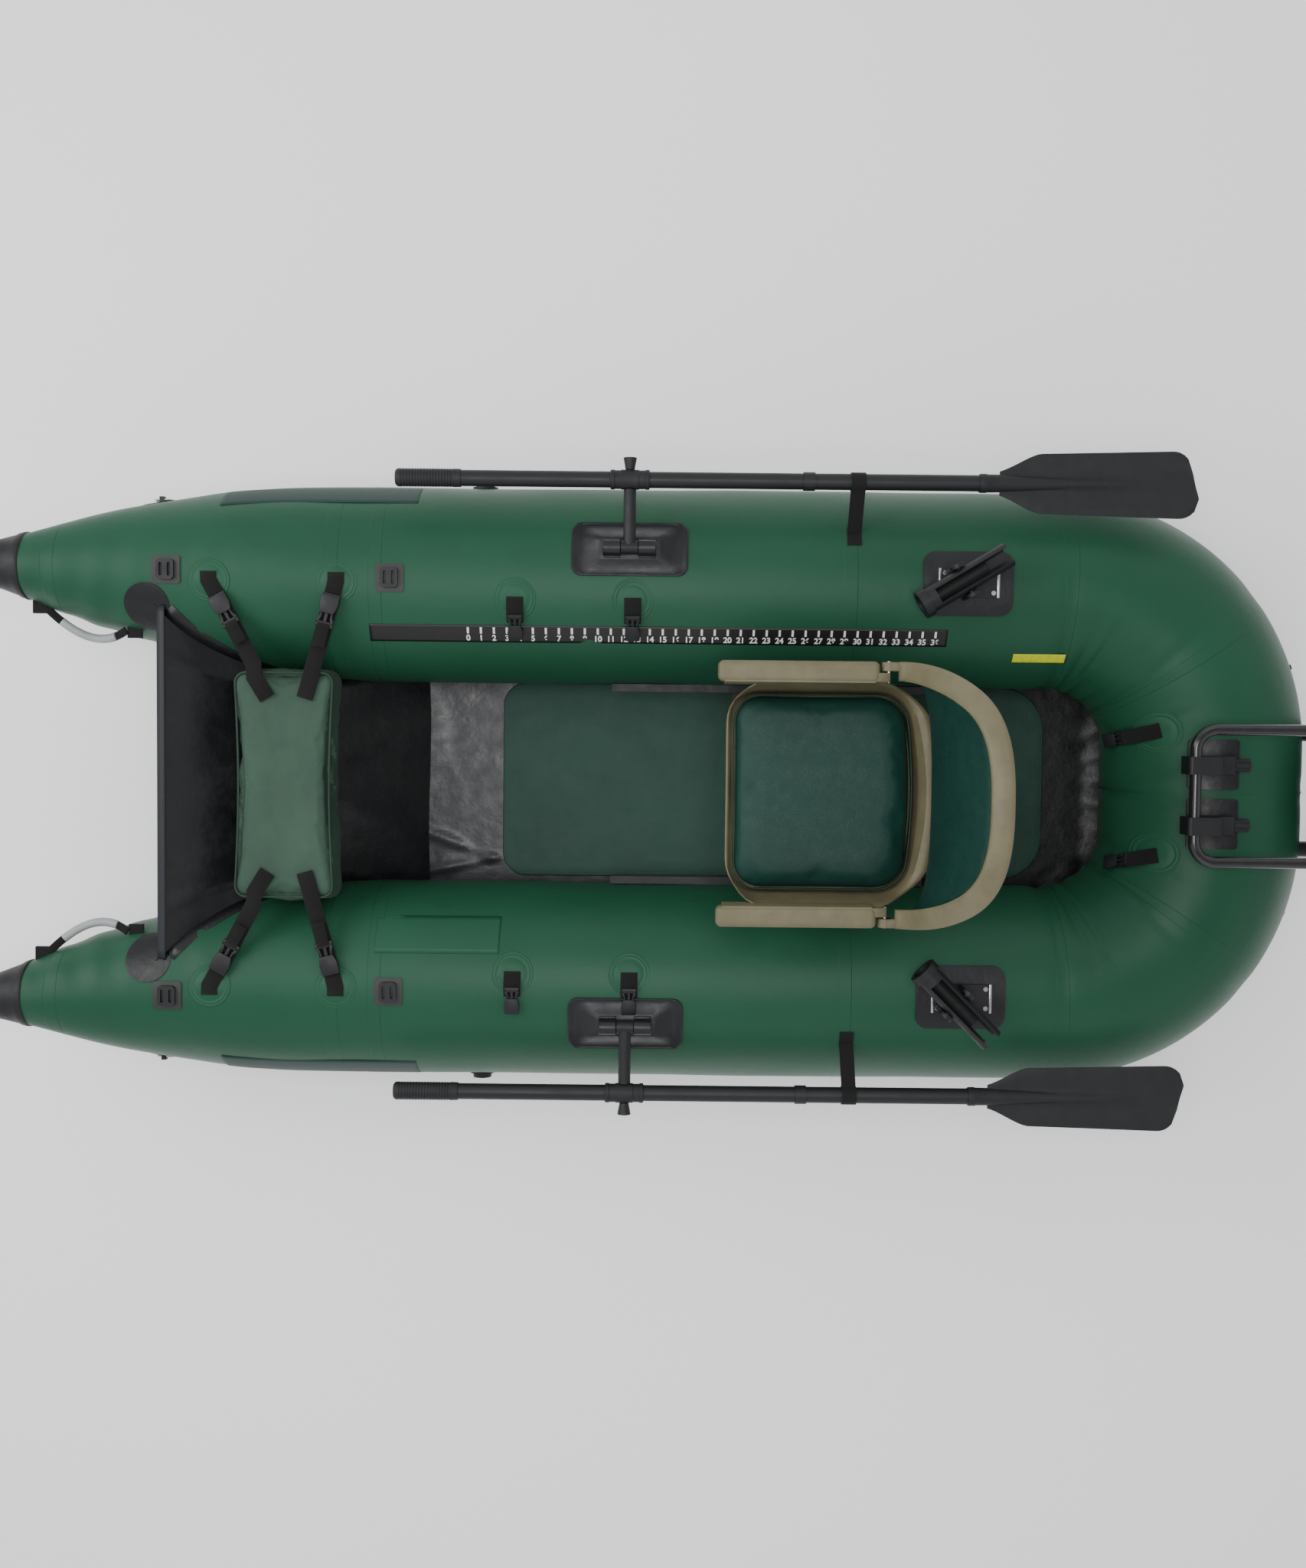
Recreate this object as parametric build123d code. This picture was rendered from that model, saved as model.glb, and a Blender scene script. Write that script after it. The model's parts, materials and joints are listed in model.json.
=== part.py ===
from build123d import *
import math
import os

# Inflatable U-shaped fishing boat with two pointed bow pontoons, swivel seat, stowed oars,
# rod holders, stowage bag and a motor mount. Millimetres, +X aft, +Y starboard, +Z up.
# The origin is below the middle of the overall length, on the surface the boat lies on.

# ---- hull ----
HULL_LENGTH = 2743.0
BOARD_OVERHANG = 87.0
TUBE_RADIUS = 198.5
SKIN = 1.2
PONTOON_Y = 404.0
CORNER_RADIUS = 320.0
CONE_LENGTH = 841.0
CONE_SPLAY = 26.0
CONE_TAPER = ((0.0, 1.0), (0.2, 0.957), (0.33, 0.897), (0.53, 0.69), (0.61, 0.605), (0.7, 0.469),
              (0.8, 0.302), (0.87, 0.196), (1.0, 0.05))
NOSE_CAP_LENGTH = 165.0
NOSE_CAP_LIFT = 1.5

BOW_TIP_X = -(HULL_LENGTH + BOARD_OVERHANG) / 2
TAPER_X = BOW_TIP_X + CONE_LENGTH
STERN_X = BOW_TIP_X + HULL_LENGTH - TUBE_RADIUS
CORNER_X = STERN_X - CORNER_RADIUS
CORNER_Y = PONTOON_Y - CORNER_RADIUS
TUBE_Z = TUBE_RADIUS
CREST_Z = 2 * TUBE_RADIUS

# ---- floor and bow apron ----
FLOOR_Z = 22.0
FLOOR_SHEET_T = 2.0
APRON_T = 3.0
APRON_FOOT_X = TAPER_X + 97.0
APRON_HEAD_X = BOW_TIP_X + 440.0
APRON_HEAD_Z = CREST_Z - 12.0
APRON_PATCH_RADIUS = 45.0
BOARD_FRONT_X = TAPER_X + 248.0
BOARD_AFT_GAP = 83.0
BOARD_HALF_WIDTH = PONTOON_Y - 194.0
BOARD_T = 8.0
BOARD_FRONT_CORNER = 50.0
BOARD_AFT_CORNER = 95.0

# ---- pads, patches and straps ----
PATCH_T = 2.0
PATCH_RADIUS = 40.0
PAD_T = 4.0
WEB_T = 2.0
WEB_WIDTH = 28.0
MID_PATCH_X = (TAPER_X + 302.0, TAPER_X + 531.0)
MID_PATCH_Y = PONTOON_Y - 38.0
MID_STRAP = 50.0
MID_STRAP_PORT = 40.0
STERN_PATCH_X = STERN_X - 132.0
STERN_PATCH_Y = 120.0
BAG_PATCH_X = (TAPER_X - 291.0, TAPER_X - 24.0)
BAG_PATCH_Y = PONTOON_Y - 8.0
LASH_X = (TAPER_X - 374.0, TAPER_X + 59.0)
LASH_PAD = 55.0
BUCKLE_LENGTH = 54.0
BUCKLE_WIDTH = 35.0
BUCKLE_T = 11.0

# ---- stowage bag ----
BAG_X = TAPER_X - 143.0
BAG_LENGTH = 208.0
BAG_HALF_WIDTH = PONTOON_Y - 176.0
BAG_BOTTOM_Z = CREST_Z - 83.0
BAG_TOP_Z = CREST_Z + 20.0
BAG_ROUND = 18.0

# ---- rings and grab handles ----
RING_RADIUS = 20.0
RING_WIRE = 2.5
RING_CLEARANCE = 1.1
RING_STANDOFF = 8.0
BOW_RING_X = TAPER_X - 423.0
STERN_RING_ANGLE = 18.8
HANDLE_FRONT_X = TAPER_X - 636.0
HANDLE_REAR_X = TAPER_X - 461.0
HANDLE_Z = CREST_Z - 67.0
HANDLE_RADIUS = 9.0
HANDLE_STANDOFF = 14.0
HANDLE_BOW = 30.0
HANDLE_DROOP = 30.0
HANDLE_END_SHARE = 0.11

# ---- valves ----
VALVE_X = TAPER_X + 224.0
VALVE_RADIUS = 26.0
VALVE_CAP_RADIUS = 19.0
VALVE_CAP_T = 9.0
VALVE_STEM_RADIUS = 12.0

# ---- oars and oarlocks ----
OARLOCK_X = TAPER_X + 524.0
OARLOCK_Y = PONTOON_Y + 60.0
OARLOCK_Z = CREST_Z + 25.0
OARLOCK_PAD_LENGTH = 226.0
OARLOCK_PAD_WIDTH = 105.0
HUB_LENGTH = 34.0
HUB_GAP = 17.0
TRUNNION_RADIUS = 5.0
STEM_RADIUS = 12.0
PIN_RADIUS = 6.0
RUN_CLEARANCE = 0.06
OAR_Y = PONTOON_Y + 189.0
OAR_FRONT = 450.0
OAR_LENGTH = 1544.0
GRIP_LENGTH = 128.0
GRIP_RADIUS = 17.5
SHAFT_RADIUS = 15.5
SHAFT_WALL = 1.5
SLEEVE_LENGTH = 75.0
SLEEVE_RADIUS = 19.0
OAR_RING_OFFSET = 332.0
OAR_RING_RADIUS = 18.0
OAR_RING_LENGTH = 22.0
BLADE_LENGTH = 386.0
BLADE_NECK = 20.0
BLADE_SHOULDER = 57.0
BLADE_TIP = 65.5
BLADE_T = 6.0
BLADE_RIB_RADIUS = 14.0
KNOB_RADIUS = 13.0
KNOB_LENGTH = 22.0
OAR_STRAP_X = OARLOCK_X + 437.0
OAR_STRAP_Y = PONTOON_Y + 98.0
OAR_STRAP_GAP = 0.8

# ---- bench, pedestal and seat ----
SEAT_X = STERN_X - 804.0
RAIL_FRONT_X = SEAT_X - 412.0
RAIL_AFT_X = SEAT_X + 232.0
RAIL_HEIGHT = 32.0
RAIL_REACH = 15.0
BENCH_LENGTH = 330.0
BENCH_T = 12.0
BENCH_CLEARANCE = 0.5
PEDESTAL_RADIUS = 30.0
PEDESTAL_WALL = 3.0
PEDESTAL_FLANGE = 180.0
PLATE_T = 4.0
BEARING_RADIUS = 55.0
BEARING_GAP = 0.5
PAN_BOTTOM_Z = CREST_Z + 33.0
PAN_T = 7.0
PAN_FRONT = 190.0
PAN_AFT = 195.0
PAN_HALF_WIDTH = 208.0
ARM_FRONT = 208.0
ARM_WIDTH = 39.0
SEAT_HALF_WIDTH = 246.0
ARM_TOP_Z = PAN_BOTTOM_Z + 146.0
ARM_DEPTH = 30.0
HINGE_OFFSET = 106.0
HINGE_Z = ARM_TOP_Z - 15.0
HINGE_PIN_RADIUS = 4.0
LUG_RADIUS = 14.0
LUG_GAP = 1.0
BACK_TOP_Z = PAN_BOTTOM_Z + 420.0
BACK_BOTTOM_Z = PAN_BOTTOM_Z + 72.0
BACK_TOP_AFT = 281.0
BACK_BOTTOM_AFT = 228.0
BACK_WALL = 6.0
CUSHION_T = 62.0
CUSHION_HALF_WIDTH = 182.0
CUSHION_FRONT = 174.0
CUSHION_AFT = 170.0
CUSHION_CORNER = 55.0
BACK_CUSHION_T = 46.0

# ---- rod holders ----
ROD_PAD_X = SEAT_X + 281.0
ROD_PAD_LENGTH = 175.0
ROD_PAD_WIDTH = 125.0
ROD_PAD_CORNER = 25.0
ROD_PLATE_LENGTH = 112.0
ROD_PLATE_WIDTH = 56.0
ROD_PIVOT_X = ROD_PAD_X - 22.0
ROD_POST_RADIUS = 13.0
ROD_SWIVEL_RADIUS = 22.0
ROD_TILT_Z = CREST_Z + 78.0
ROD_CRADLE_LENGTH = 190.0
ROD_CRADLE_RADIUS = 24.0
ROD_BORE_RADIUS = 20.5
ROD_YAW_STARBOARD = 31.0
ROD_YAW_PORT = 45.0

# ---- motor mount ----
FRAME_TUBE_RADIUS = 11.0
FRAME_TUBE_WALL = 1.5
FRAME_FRONT_X = STERN_X - 95.0
FRAME_HALF_WIDTH = 127.0
FRAME_Z = CREST_Z + 63.0
FRAME_FOOT_Z = TUBE_Z + 6.0
FRAME_BEND = 40.0
MOTOR_BOARD_T = 25.0
MOTOR_BOARD_WIDTH = 310.0
MOTOR_BOARD_HEIGHT = 230.0
MOTOR_PAD_LENGTH = 94.0
MOTOR_PAD_WIDTH = 97.0
MOTOR_PAD_Y = 58.0
CLIP_WIDTH = 34.0
MOTOR_KNOB_RADIUS = 13.0
BOLT_RADIUS = 4.0
BOLT_HEAD_RADIUS = 6.5

# ---- printed strips ----
DECAL_T = 0.5
RULER_FRONT_X = TAPER_X + 16.0
RULER_LENGTH = 1131.0
RULER_ANGLE = 32.0
RULER_HALF_ANGLE = 5.5

BOARD_AFT_X = BOW_TIP_X + HULL_LENGTH + BOARD_OVERHANG
FRAME_AFT_X = BOARD_AFT_X - MOTOR_BOARD_T - FRAME_TUBE_RADIUS


def cylinder_x(radius, x_from, x_to, y, z):
    """Cylinder along X between two stations."""
    return Plane((x_from, y, z), z_dir=(1, 0, 0)) * extrude(Circle(radius), x_to - x_from)


def cylinder_y(radius, y_from, y_to, x, z):
    """Cylinder along Y between two stations."""
    return Plane((x, y_from, z), z_dir=(0, 1, 0)) * extrude(Circle(radius), y_to - y_from)


def cylinder_z(radius, z_from, z_to, x, y):
    """Upright cylinder between two heights."""
    return Pos(x, y, z_from) * extrude(Circle(radius), z_to - z_from)


def block(x_from, x_to, y_from, y_to, z_from, z_to):
    """Box between two corners."""
    centre = Pos((x_from + x_to) / 2, (y_from + y_to) / 2, (z_from + z_to) / 2)
    return centre * Box(x_to - x_from, abs(y_to - y_from), z_to - z_from)


def prism(outline, x, y, z_from, z_to):
    """Upright prism of a sketch centred on a point."""
    return Pos(x, y, z_from) * extrude(outline, z_to - z_from)


def bar_between(start, end, width, thickness):
    """Straight flat strip from one point to another, its width kept level."""
    run = Vector(end) - Vector(start)
    level = Vector(0, 0, 1).cross(run)
    plane = Plane(Vector(start), x_dir=level, z_dir=run)
    return plane * extrude(Rectangle(width, thickness), run.length)


def to_port(shape):
    """The same shape on the port side."""
    return mirror(shape, about=Plane.XZ)


def both_sides(shape):
    """A starboard shape and its port copy."""
    return shape + to_port(shape)


def save(shape, node):
    """Write one node."""
    os.makedirs("parts", exist_ok=True)
    export_step(shape, f"parts/{node}.step")


# ---- forms of the starboard pontoon, at any distance outside its skin ----
def cone_share(x):
    """Radius of the bow cone at x, from its taper table."""
    t = (TAPER_X - x) / CONE_LENGTH
    for (t0, k0), (t1, k1) in zip(CONE_TAPER, CONE_TAPER[1:]):
        if t <= t1:
            return TUBE_RADIUS * (k0 + (k1 - k0) * (t - t0) / (t1 - t0))
    return TUBE_RADIUS * CONE_TAPER[-1][1]


def cone_centre_y(x):
    """Height-independent centre line of the cone, which splays outwards."""
    return PONTOON_Y + CONE_SPLAY * (TAPER_X - x) / CONE_LENGTH


def cone_form(lift):
    """Bow cone with a level crest."""
    rings = []
    for t, k in CONE_TAPER:
        radius = TUBE_RADIUS * k
        centre = (TAPER_X - CONE_LENGTH * t, PONTOON_Y + CONE_SPLAY * t, CREST_Z - radius)
        rings.append(Plane(centre, z_dir=(-1, 0, 0)) * Circle(radius + lift))
    return loft(rings, ruled=True)


def straight_form(lift):
    """Straight run of the pontoon."""
    return cylinder_x(TUBE_RADIUS + lift, TAPER_X, CORNER_X, PONTOON_Y, TUBE_Z)


def tube_form(lift, start_x):
    """Tube from a station on the straight run round the corner to the middle of the stern."""
    start = (start_x, PONTOON_Y, TUBE_Z)
    corner = (CORNER_X, PONTOON_Y, TUBE_Z)
    turned = (STERN_X, CORNER_Y, TUBE_Z)
    middle = (STERN_X, SKIN / 2, TUBE_Z)
    path = Wire([Line(start, corner), TangentArc(corner, turned, tangent=(1, 0, 0)), Line(turned, middle)])
    return sweep(Plane(start, z_dir=(1, 0, 0)) * Circle(TUBE_RADIUS + lift), path=path)


def stern_form(lift):
    """Rounded corner and half of the stern tube."""
    return tube_form(lift, CORNER_X - 50)


def patch(form, outline, x, y, low, high):
    """Piece of a layer that follows the tube's upper skin, between two distances outside it."""
    column = prism(outline, x, y, TUBE_Z, CREST_Z + 40)
    return (form(high) & column) - form(low)


# ---- hull ----
def chamber():
    """Starboard air chamber: a thin welded skin, open only where the baffle closes it."""
    tube = tube_form(0, TAPER_X) - tube_form(-SKIN, TAPER_X)
    inner_cone = cone_form(-SKIN) & block(BOW_TIP_X + 4, TAPER_X, 0, 2 * PONTOON_Y, 0, CREST_Z)
    cone = cone_form(0) - inner_cone
    return tube + cone


def chamber_baffle():
    """Disc that parts the two air chambers in the middle of the stern."""
    return cylinder_y(TUBE_RADIUS, -SKIN / 2, SKIN / 2, STERN_X, TUBE_Z)


def nose_cap():
    """Moulded cap over one bow tip."""
    end_x = BOW_TIP_X + NOSE_CAP_LENGTH
    room = block(BOW_TIP_X - 1, end_x, 0, 2 * PONTOON_Y, 0, 2 * CREST_Z)
    return (cone_form(NOSE_CAP_LIFT) & room) - cone_form(0)


def valve_body():
    """Flange and threaded stem of one inflation valve, on the outboard flank."""
    skin_y = PONTOON_Y + TUBE_RADIUS
    flange = cylinder_y(VALVE_RADIUS, skin_y - 6, skin_y + 3, VALVE_X, TUBE_Z)
    stem = cylinder_y(VALVE_STEM_RADIUS, skin_y + 3, skin_y + 9, VALVE_X, TUBE_Z)
    return (flange - straight_form(0)) + stem


def valve_cap():
    """Screw cap of one valve, over its stem."""
    start = PONTOON_Y + TUBE_RADIUS + 3.3
    cap = cylinder_y(VALVE_CAP_RADIUS, start, start + VALVE_CAP_T, VALVE_X, TUBE_Z)
    bore = cylinder_y(VALVE_STEM_RADIUS + 0.3, start - 1, start + VALVE_CAP_T - 3, VALVE_X, TUBE_Z)
    return cap - bore


def floor_sheet():
    """Fabric floor between the pontoons, welded to their lower flanks."""
    aft_x = STERN_X - 60
    half = PONTOON_Y - 60
    sheet = block(APRON_FOOT_X, aft_x, -half, half, FLOOR_Z, FLOOR_Z + FLOOR_SHEET_T)
    corners = sheet.edges().filter_by(Axis.Z).group_by(Axis.X)[-1]
    sheet = fillet(corners, CORNER_RADIUS - 60)
    side = tube_form(0, TAPER_X)
    return sheet - side - to_port(side) - chamber_baffle()


def bow_apron():
    """Sloping fabric from the floor up to a hem between the bow cones."""
    head = (APRON_HEAD_X, 0, APRON_HEAD_Z)
    foot = (APRON_FOOT_X, 0, FLOOR_Z + APRON_T / 2)
    sheet = bar_between(foot, head, 2 * (PONTOON_Y - 54), APRON_T)
    for form in (cone_form(0), straight_form(0)):
        sheet = sheet - form - to_port(form)
    return sheet - floor_sheet()


def apron_patches():
    """Round reinforcing patches where the apron's corners are welded to the cones."""
    x = APRON_HEAD_X - 15
    y = cone_centre_y(x) - 72
    return both_sides(patch(cone_form, Circle(APRON_PATCH_RADIUS), x, y, 0, PATCH_T)) - bow_apron()


def floorboard():
    """Non-skid panel on the floor sheet."""
    aft_x = STERN_X - TUBE_RADIUS - BOARD_AFT_GAP
    low = FLOOR_Z + FLOOR_SHEET_T
    panel = block(BOARD_FRONT_X, aft_x, -BOARD_HALF_WIDTH, BOARD_HALF_WIDTH, low, low + BOARD_T)
    panel = fillet(panel.edges().filter_by(Axis.Z).group_by(Axis.X)[0], BOARD_FRONT_CORNER)
    return fillet(panel.edges().filter_by(Axis.Z).group_by(Axis.X)[-1], BOARD_AFT_CORNER)


# ---- patches, webbing, buckles ----
def strap_patches():
    """Round welded patches that hold the ends of the straps."""
    disc = Circle(PATCH_RADIUS)
    pieces = [patch(straight_form, disc, x, MID_PATCH_Y, 0, PATCH_T) for x in MID_PATCH_X]
    pieces += [patch(cone_form, disc, x, BAG_PATCH_Y, 0, PATCH_T) for x in (BAG_PATCH_X[0], BAG_PATCH_X[1] - 20)]
    pieces += [patch(stern_form, disc, STERN_PATCH_X, STERN_PATCH_Y, 0, PATCH_T)]
    return Compound(children=pieces + [to_port(p) for p in pieces])


def mid_strap(x, length):
    """Short strap lying across the tube; a negative length runs it outboard."""
    strip = Rectangle(WEB_WIDTH, abs(length))
    y = MID_PATCH_Y - length / 2
    return patch(straight_form, strip, x, y, PATCH_T, PATCH_T + WEB_T)


def stern_strap():
    """Short strap that runs forward from the stern patch."""
    strip = Rectangle(72, WEB_WIDTH)
    return patch(stern_form, strip, STERN_PATCH_X - 40, STERN_PATCH_Y, PATCH_T, PATCH_T + WEB_T)


def bag_strap(start_x, end_x):
    """Strap from a cone patch across to the bag's side."""
    rise = CREST_Z + PATCH_T + WEB_T
    start = (start_x, BAG_PATCH_Y, rise)
    end = (end_x, BAG_HALF_WIDTH + 0.5, rise)
    return bar_between(start, end, WEB_WIDTH, WEB_T) - stowage_bag()


def bag_strap_ends():
    """Stations of the bag straps: on the patch and on the bag."""
    return ((BAG_PATCH_X[0], BAG_X - 55), (BAG_PATCH_X[1] - 20, BAG_X + 55))


def webbing_straps():
    """All the flat webbing of the deck."""
    pieces = [stern_strap()] + [bag_strap(a, b) for a, b in bag_strap_ends()]
    pieces += [to_port(p) for p in pieces]
    pieces += [mid_strap(x, MID_STRAP) for x in MID_PATCH_X]
    pieces += [to_port(mid_strap(x, -MID_STRAP_PORT)) for x in MID_PATCH_X]
    return Compound(children=pieces)


def buckle(start_x, end_x):
    """Side-release buckle riding on a bag strap."""
    low = CREST_Z + PATCH_T + WEB_T * 1.5
    start = Vector(start_x, BAG_PATCH_Y, low + BUCKLE_T / 2)
    end = Vector(end_x, BAG_HALF_WIDTH, low + BUCKLE_T / 2)
    along = (end - start).normalized()
    middle = start + along * 72
    first = middle - along * (BUCKLE_LENGTH / 2)
    last = middle + along * (BUCKLE_LENGTH / 2)
    body = bar_between(first, last, BUCKLE_WIDTH, BUCKLE_T)
    window = bar_between(middle - along * 5, middle + along * 7, BUCKLE_WIDTH - 14, BUCKLE_T + 2)
    return body - window


def mid_buckle(x):
    """Buckle half at the end of a short strap."""
    y = MID_PATCH_Y - MID_STRAP
    return patch(straight_form, Rectangle(BUCKLE_WIDTH, 26), x, y, PATCH_T + WEB_T, PATCH_T + WEB_T + 8)


def buckles():
    """All buckles of the deck straps."""
    pieces = [buckle(a, b) for a, b in bag_strap_ends()]
    pieces += [to_port(p) for p in pieces]
    pieces += [mid_buckle(x) for x in MID_PATCH_X]
    return Compound(children=pieces)


def stowage_bag():
    """Soft bag slung between the bow cones, as a rounded block."""
    half = BAG_LENGTH / 2
    bag = block(BAG_X - half, BAG_X + half, -BAG_HALF_WIDTH, BAG_HALF_WIDTH, BAG_BOTTOM_Z, BAG_TOP_Z)
    return fillet(bag.edges(), BAG_ROUND)


def lash_form(x):
    """Which stretch of the pontoon a lash pad lies on."""
    return cone_form if x < TAPER_X else straight_form


def lash_pads():
    """Square pads on the crest for the lash fittings."""
    square = RectangleRounded(LASH_PAD, LASH_PAD, 6)
    pieces = [patch(lash_form(x), square, x, cone_centre_y(min(x, TAPER_X)), 0, PATCH_T) for x in LASH_X]
    return Compound(children=pieces + [to_port(p) for p in pieces])


def lash_fitting(x):
    """Two-slot fitting on one lash pad."""
    y = cone_centre_y(min(x, TAPER_X))
    low = CREST_Z - 2
    body = prism(RectangleRounded(34, 40, 8), x, y, low, CREST_Z + PATCH_T + 7)
    slot = prism(RectangleRounded(6, 26, 2.9), x - 8, y, low - 1, CREST_Z + 20)
    slot += prism(RectangleRounded(6, 26, 2.9), x + 8, y, low - 1, CREST_Z + 20)
    return body - lash_form(x)(PATCH_T) - slot


def lash_fittings():
    """The four lash fittings."""
    pieces = [lash_fitting(x) for x in LASH_X]
    return Compound(children=pieces + [to_port(p) for p in pieces])


# ---- rings and handles ----
def bow_ring_place():
    """Hinge point of the starboard bow ring and its outboard direction."""
    radius = cone_share(BOW_RING_X)
    y = cone_centre_y(BOW_RING_X) + radius + RING_STANDOFF
    return (BOW_RING_X, y, CREST_Z - radius), 90.0


def stern_ring_place():
    """Hinge point of the starboard stern ring and its outboard direction."""
    turn = math.radians(STERN_RING_ANGLE)
    reach = CORNER_RADIUS + TUBE_RADIUS + RING_STANDOFF
    return (CORNER_X + reach * math.cos(turn), CORNER_Y + reach * math.sin(turn), TUBE_Z), STERN_RING_ANGLE


def ring(place):
    """Steel ring that hangs from its loop."""
    (x, y, z), turn = place
    return Pos(x, y, z) * Rot(0, 0, turn) * Pos(0, 0, -RING_RADIUS) * Rot(0, 90, 0) * Torus(RING_RADIUS, RING_WIRE)


def ring_patch(place, form):
    """Oval patch on the skin with the webbing loop that holds a ring."""
    (x, y, z), turn = place
    spot = Pos(x, y, z) * Rot(0, 0, turn)
    oval = spot * (Plane((-RING_STANDOFF - 12, 0, 0), z_dir=(1, 0, 0)) * extrude(Ellipse(30, 42), 16))
    pad = (oval & form(PATCH_T)) - form(0)
    loop = spot * block(-RING_STANDOFF - 4, 6, -5, 5, -6, 6)
    bore = spot * cylinder_y(RING_WIRE + RING_CLEARANCE, -8, 8, 0, 0)
    return pad, (loop - form(PATCH_T)) - bore


def ring_patches():
    """Patches and loops of the four rings."""
    pieces = [*ring_patch(bow_ring_place(), cone_form), *ring_patch(stern_ring_place(), stern_form)]
    return Compound(children=pieces + [to_port(p) for p in pieces])


def handle_end(x):
    """Point beside the cone's inner flank where a handle end turns."""
    radius = cone_share(x)
    rise = HANDLE_Z - (CREST_Z - radius)
    y = cone_centre_y(x) - math.sqrt(radius ** 2 - rise ** 2) - HANDLE_STANDOFF
    return Vector(x, y, HANDLE_Z)


def handle_inset(share):
    """Point a share of the way along the handle's hinge line."""
    front = handle_end(HANDLE_FRONT_X)
    return front + (handle_end(HANDLE_REAR_X) - front) * share


def grab_handle():
    """Tubular carrying handle, bowed inwards and drooping."""
    droop = math.radians(HANDLE_DROOP)
    middle = handle_inset(0.5) + Vector(0, -math.cos(droop), -math.sin(droop)) * HANDLE_BOW
    start = handle_inset(HANDLE_END_SHARE)
    path = ThreePointArc(start, middle, handle_inset(1 - HANDLE_END_SHARE))
    section = Plane(start, z_dir=path.tangent_at(0)) * Circle(HANDLE_RADIUS)
    return sweep(section, path=path)


def handle_anchor(x, share):
    """Folded webbing end that holds a handle to the cone."""
    point = handle_inset(share)
    strip = block(x - 14, x + 14, point.Y - 4, point.Y + 40, HANDLE_Z - 5, HANDLE_Z + 5)
    return strip - cone_form(0)


def handle_anchors():
    """The four webbing anchors of the handles."""
    pieces = [handle_anchor(HANDLE_FRONT_X - 6, 0.0), handle_anchor(HANDLE_REAR_X + 6, 1.0)]
    return Compound(children=pieces + [to_port(p) for p in pieces])


# ---- oarlocks and oars ----
def oarlock_pad():
    """Moulded pad with a raised pyramid and two hinge hubs."""
    outline = RectangleRounded(OARLOCK_PAD_LENGTH, OARLOCK_PAD_WIDTH, 20)
    base = patch(straight_form, outline, OARLOCK_X, OARLOCK_Y, 0, PAD_T)
    foot = Pos(OARLOCK_X, OARLOCK_Y, CREST_Z - 60) * Rectangle(190, 84)
    head = Pos(OARLOCK_X, OARLOCK_Y, OARLOCK_Z - 17) * Rectangle(112, 34)
    pyramid = loft([foot, head]) - straight_form(0)
    body = base + pyramid
    for sign in (-1, 1):
        middle = OARLOCK_X + sign * (HUB_GAP + HUB_LENGTH / 2)
        low, high = middle - HUB_LENGTH / 2, middle + HUB_LENGTH / 2
        hub = block(low, high, OARLOCK_Y - 15, OARLOCK_Y + 15, OARLOCK_Z - 20, OARLOCK_Z)
        hub += cylinder_x(15, low, high, OARLOCK_Y, OARLOCK_Z)
        body += hub
    well = block(OARLOCK_X - HUB_GAP, OARLOCK_X + HUB_GAP, OARLOCK_Y - 18, OARLOCK_Y + 90,
                 OARLOCK_Z - 16, OARLOCK_Z + 20)
    reach = HUB_GAP + HUB_LENGTH + 1
    bore = cylinder_x(TRUNNION_RADIUS + RUN_CLEARANCE, OARLOCK_X - reach, OARLOCK_X + reach,
                      OARLOCK_Y, OARLOCK_Z)
    return body - well - bore


def oarlock_pin():
    """Stem that folds on its trunnion, with the pin that the oar turns on and its end knob."""
    reach = HUB_GAP + HUB_LENGTH
    trunnion = cylinder_x(TRUNNION_RADIUS, OARLOCK_X - reach, OARLOCK_X + reach, OARLOCK_Y, OARLOCK_Z)
    eye = cylinder_x(13, OARLOCK_X - HUB_GAP + 1, OARLOCK_X + HUB_GAP - 1, OARLOCK_Y, OARLOCK_Z)
    shoulder = OAR_Y - SLEEVE_RADIUS - 0.5
    stem = cylinder_y(STEM_RADIUS, OARLOCK_Y, shoulder, OARLOCK_X, OARLOCK_Z)
    neck = OAR_Y + SLEEVE_RADIUS + 0.5
    pin = cylinder_y(PIN_RADIUS, OARLOCK_Y, neck + 1, OARLOCK_X, OARLOCK_Z)
    knob_plane = Plane((OARLOCK_X, neck, OARLOCK_Z), z_dir=(0, 1, 0))
    knob = loft([knob_plane * Circle(KNOB_RADIUS - 4), knob_plane.offset(KNOB_LENGTH) * Circle(KNOB_RADIUS)])
    return trunnion + eye + stem + pin + knob


def oar_grip():
    """Moulded hand grip."""
    start = OARLOCK_X - OAR_FRONT
    grip = cylinder_x(GRIP_RADIUS, start, start + GRIP_LENGTH, OAR_Y, OARLOCK_Z)
    grip = fillet(grip.edges(), 5)
    bore = cylinder_x(SHAFT_RADIUS, start + 20, start + GRIP_LENGTH + 1, OAR_Y, OARLOCK_Z)
    return grip - bore


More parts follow.
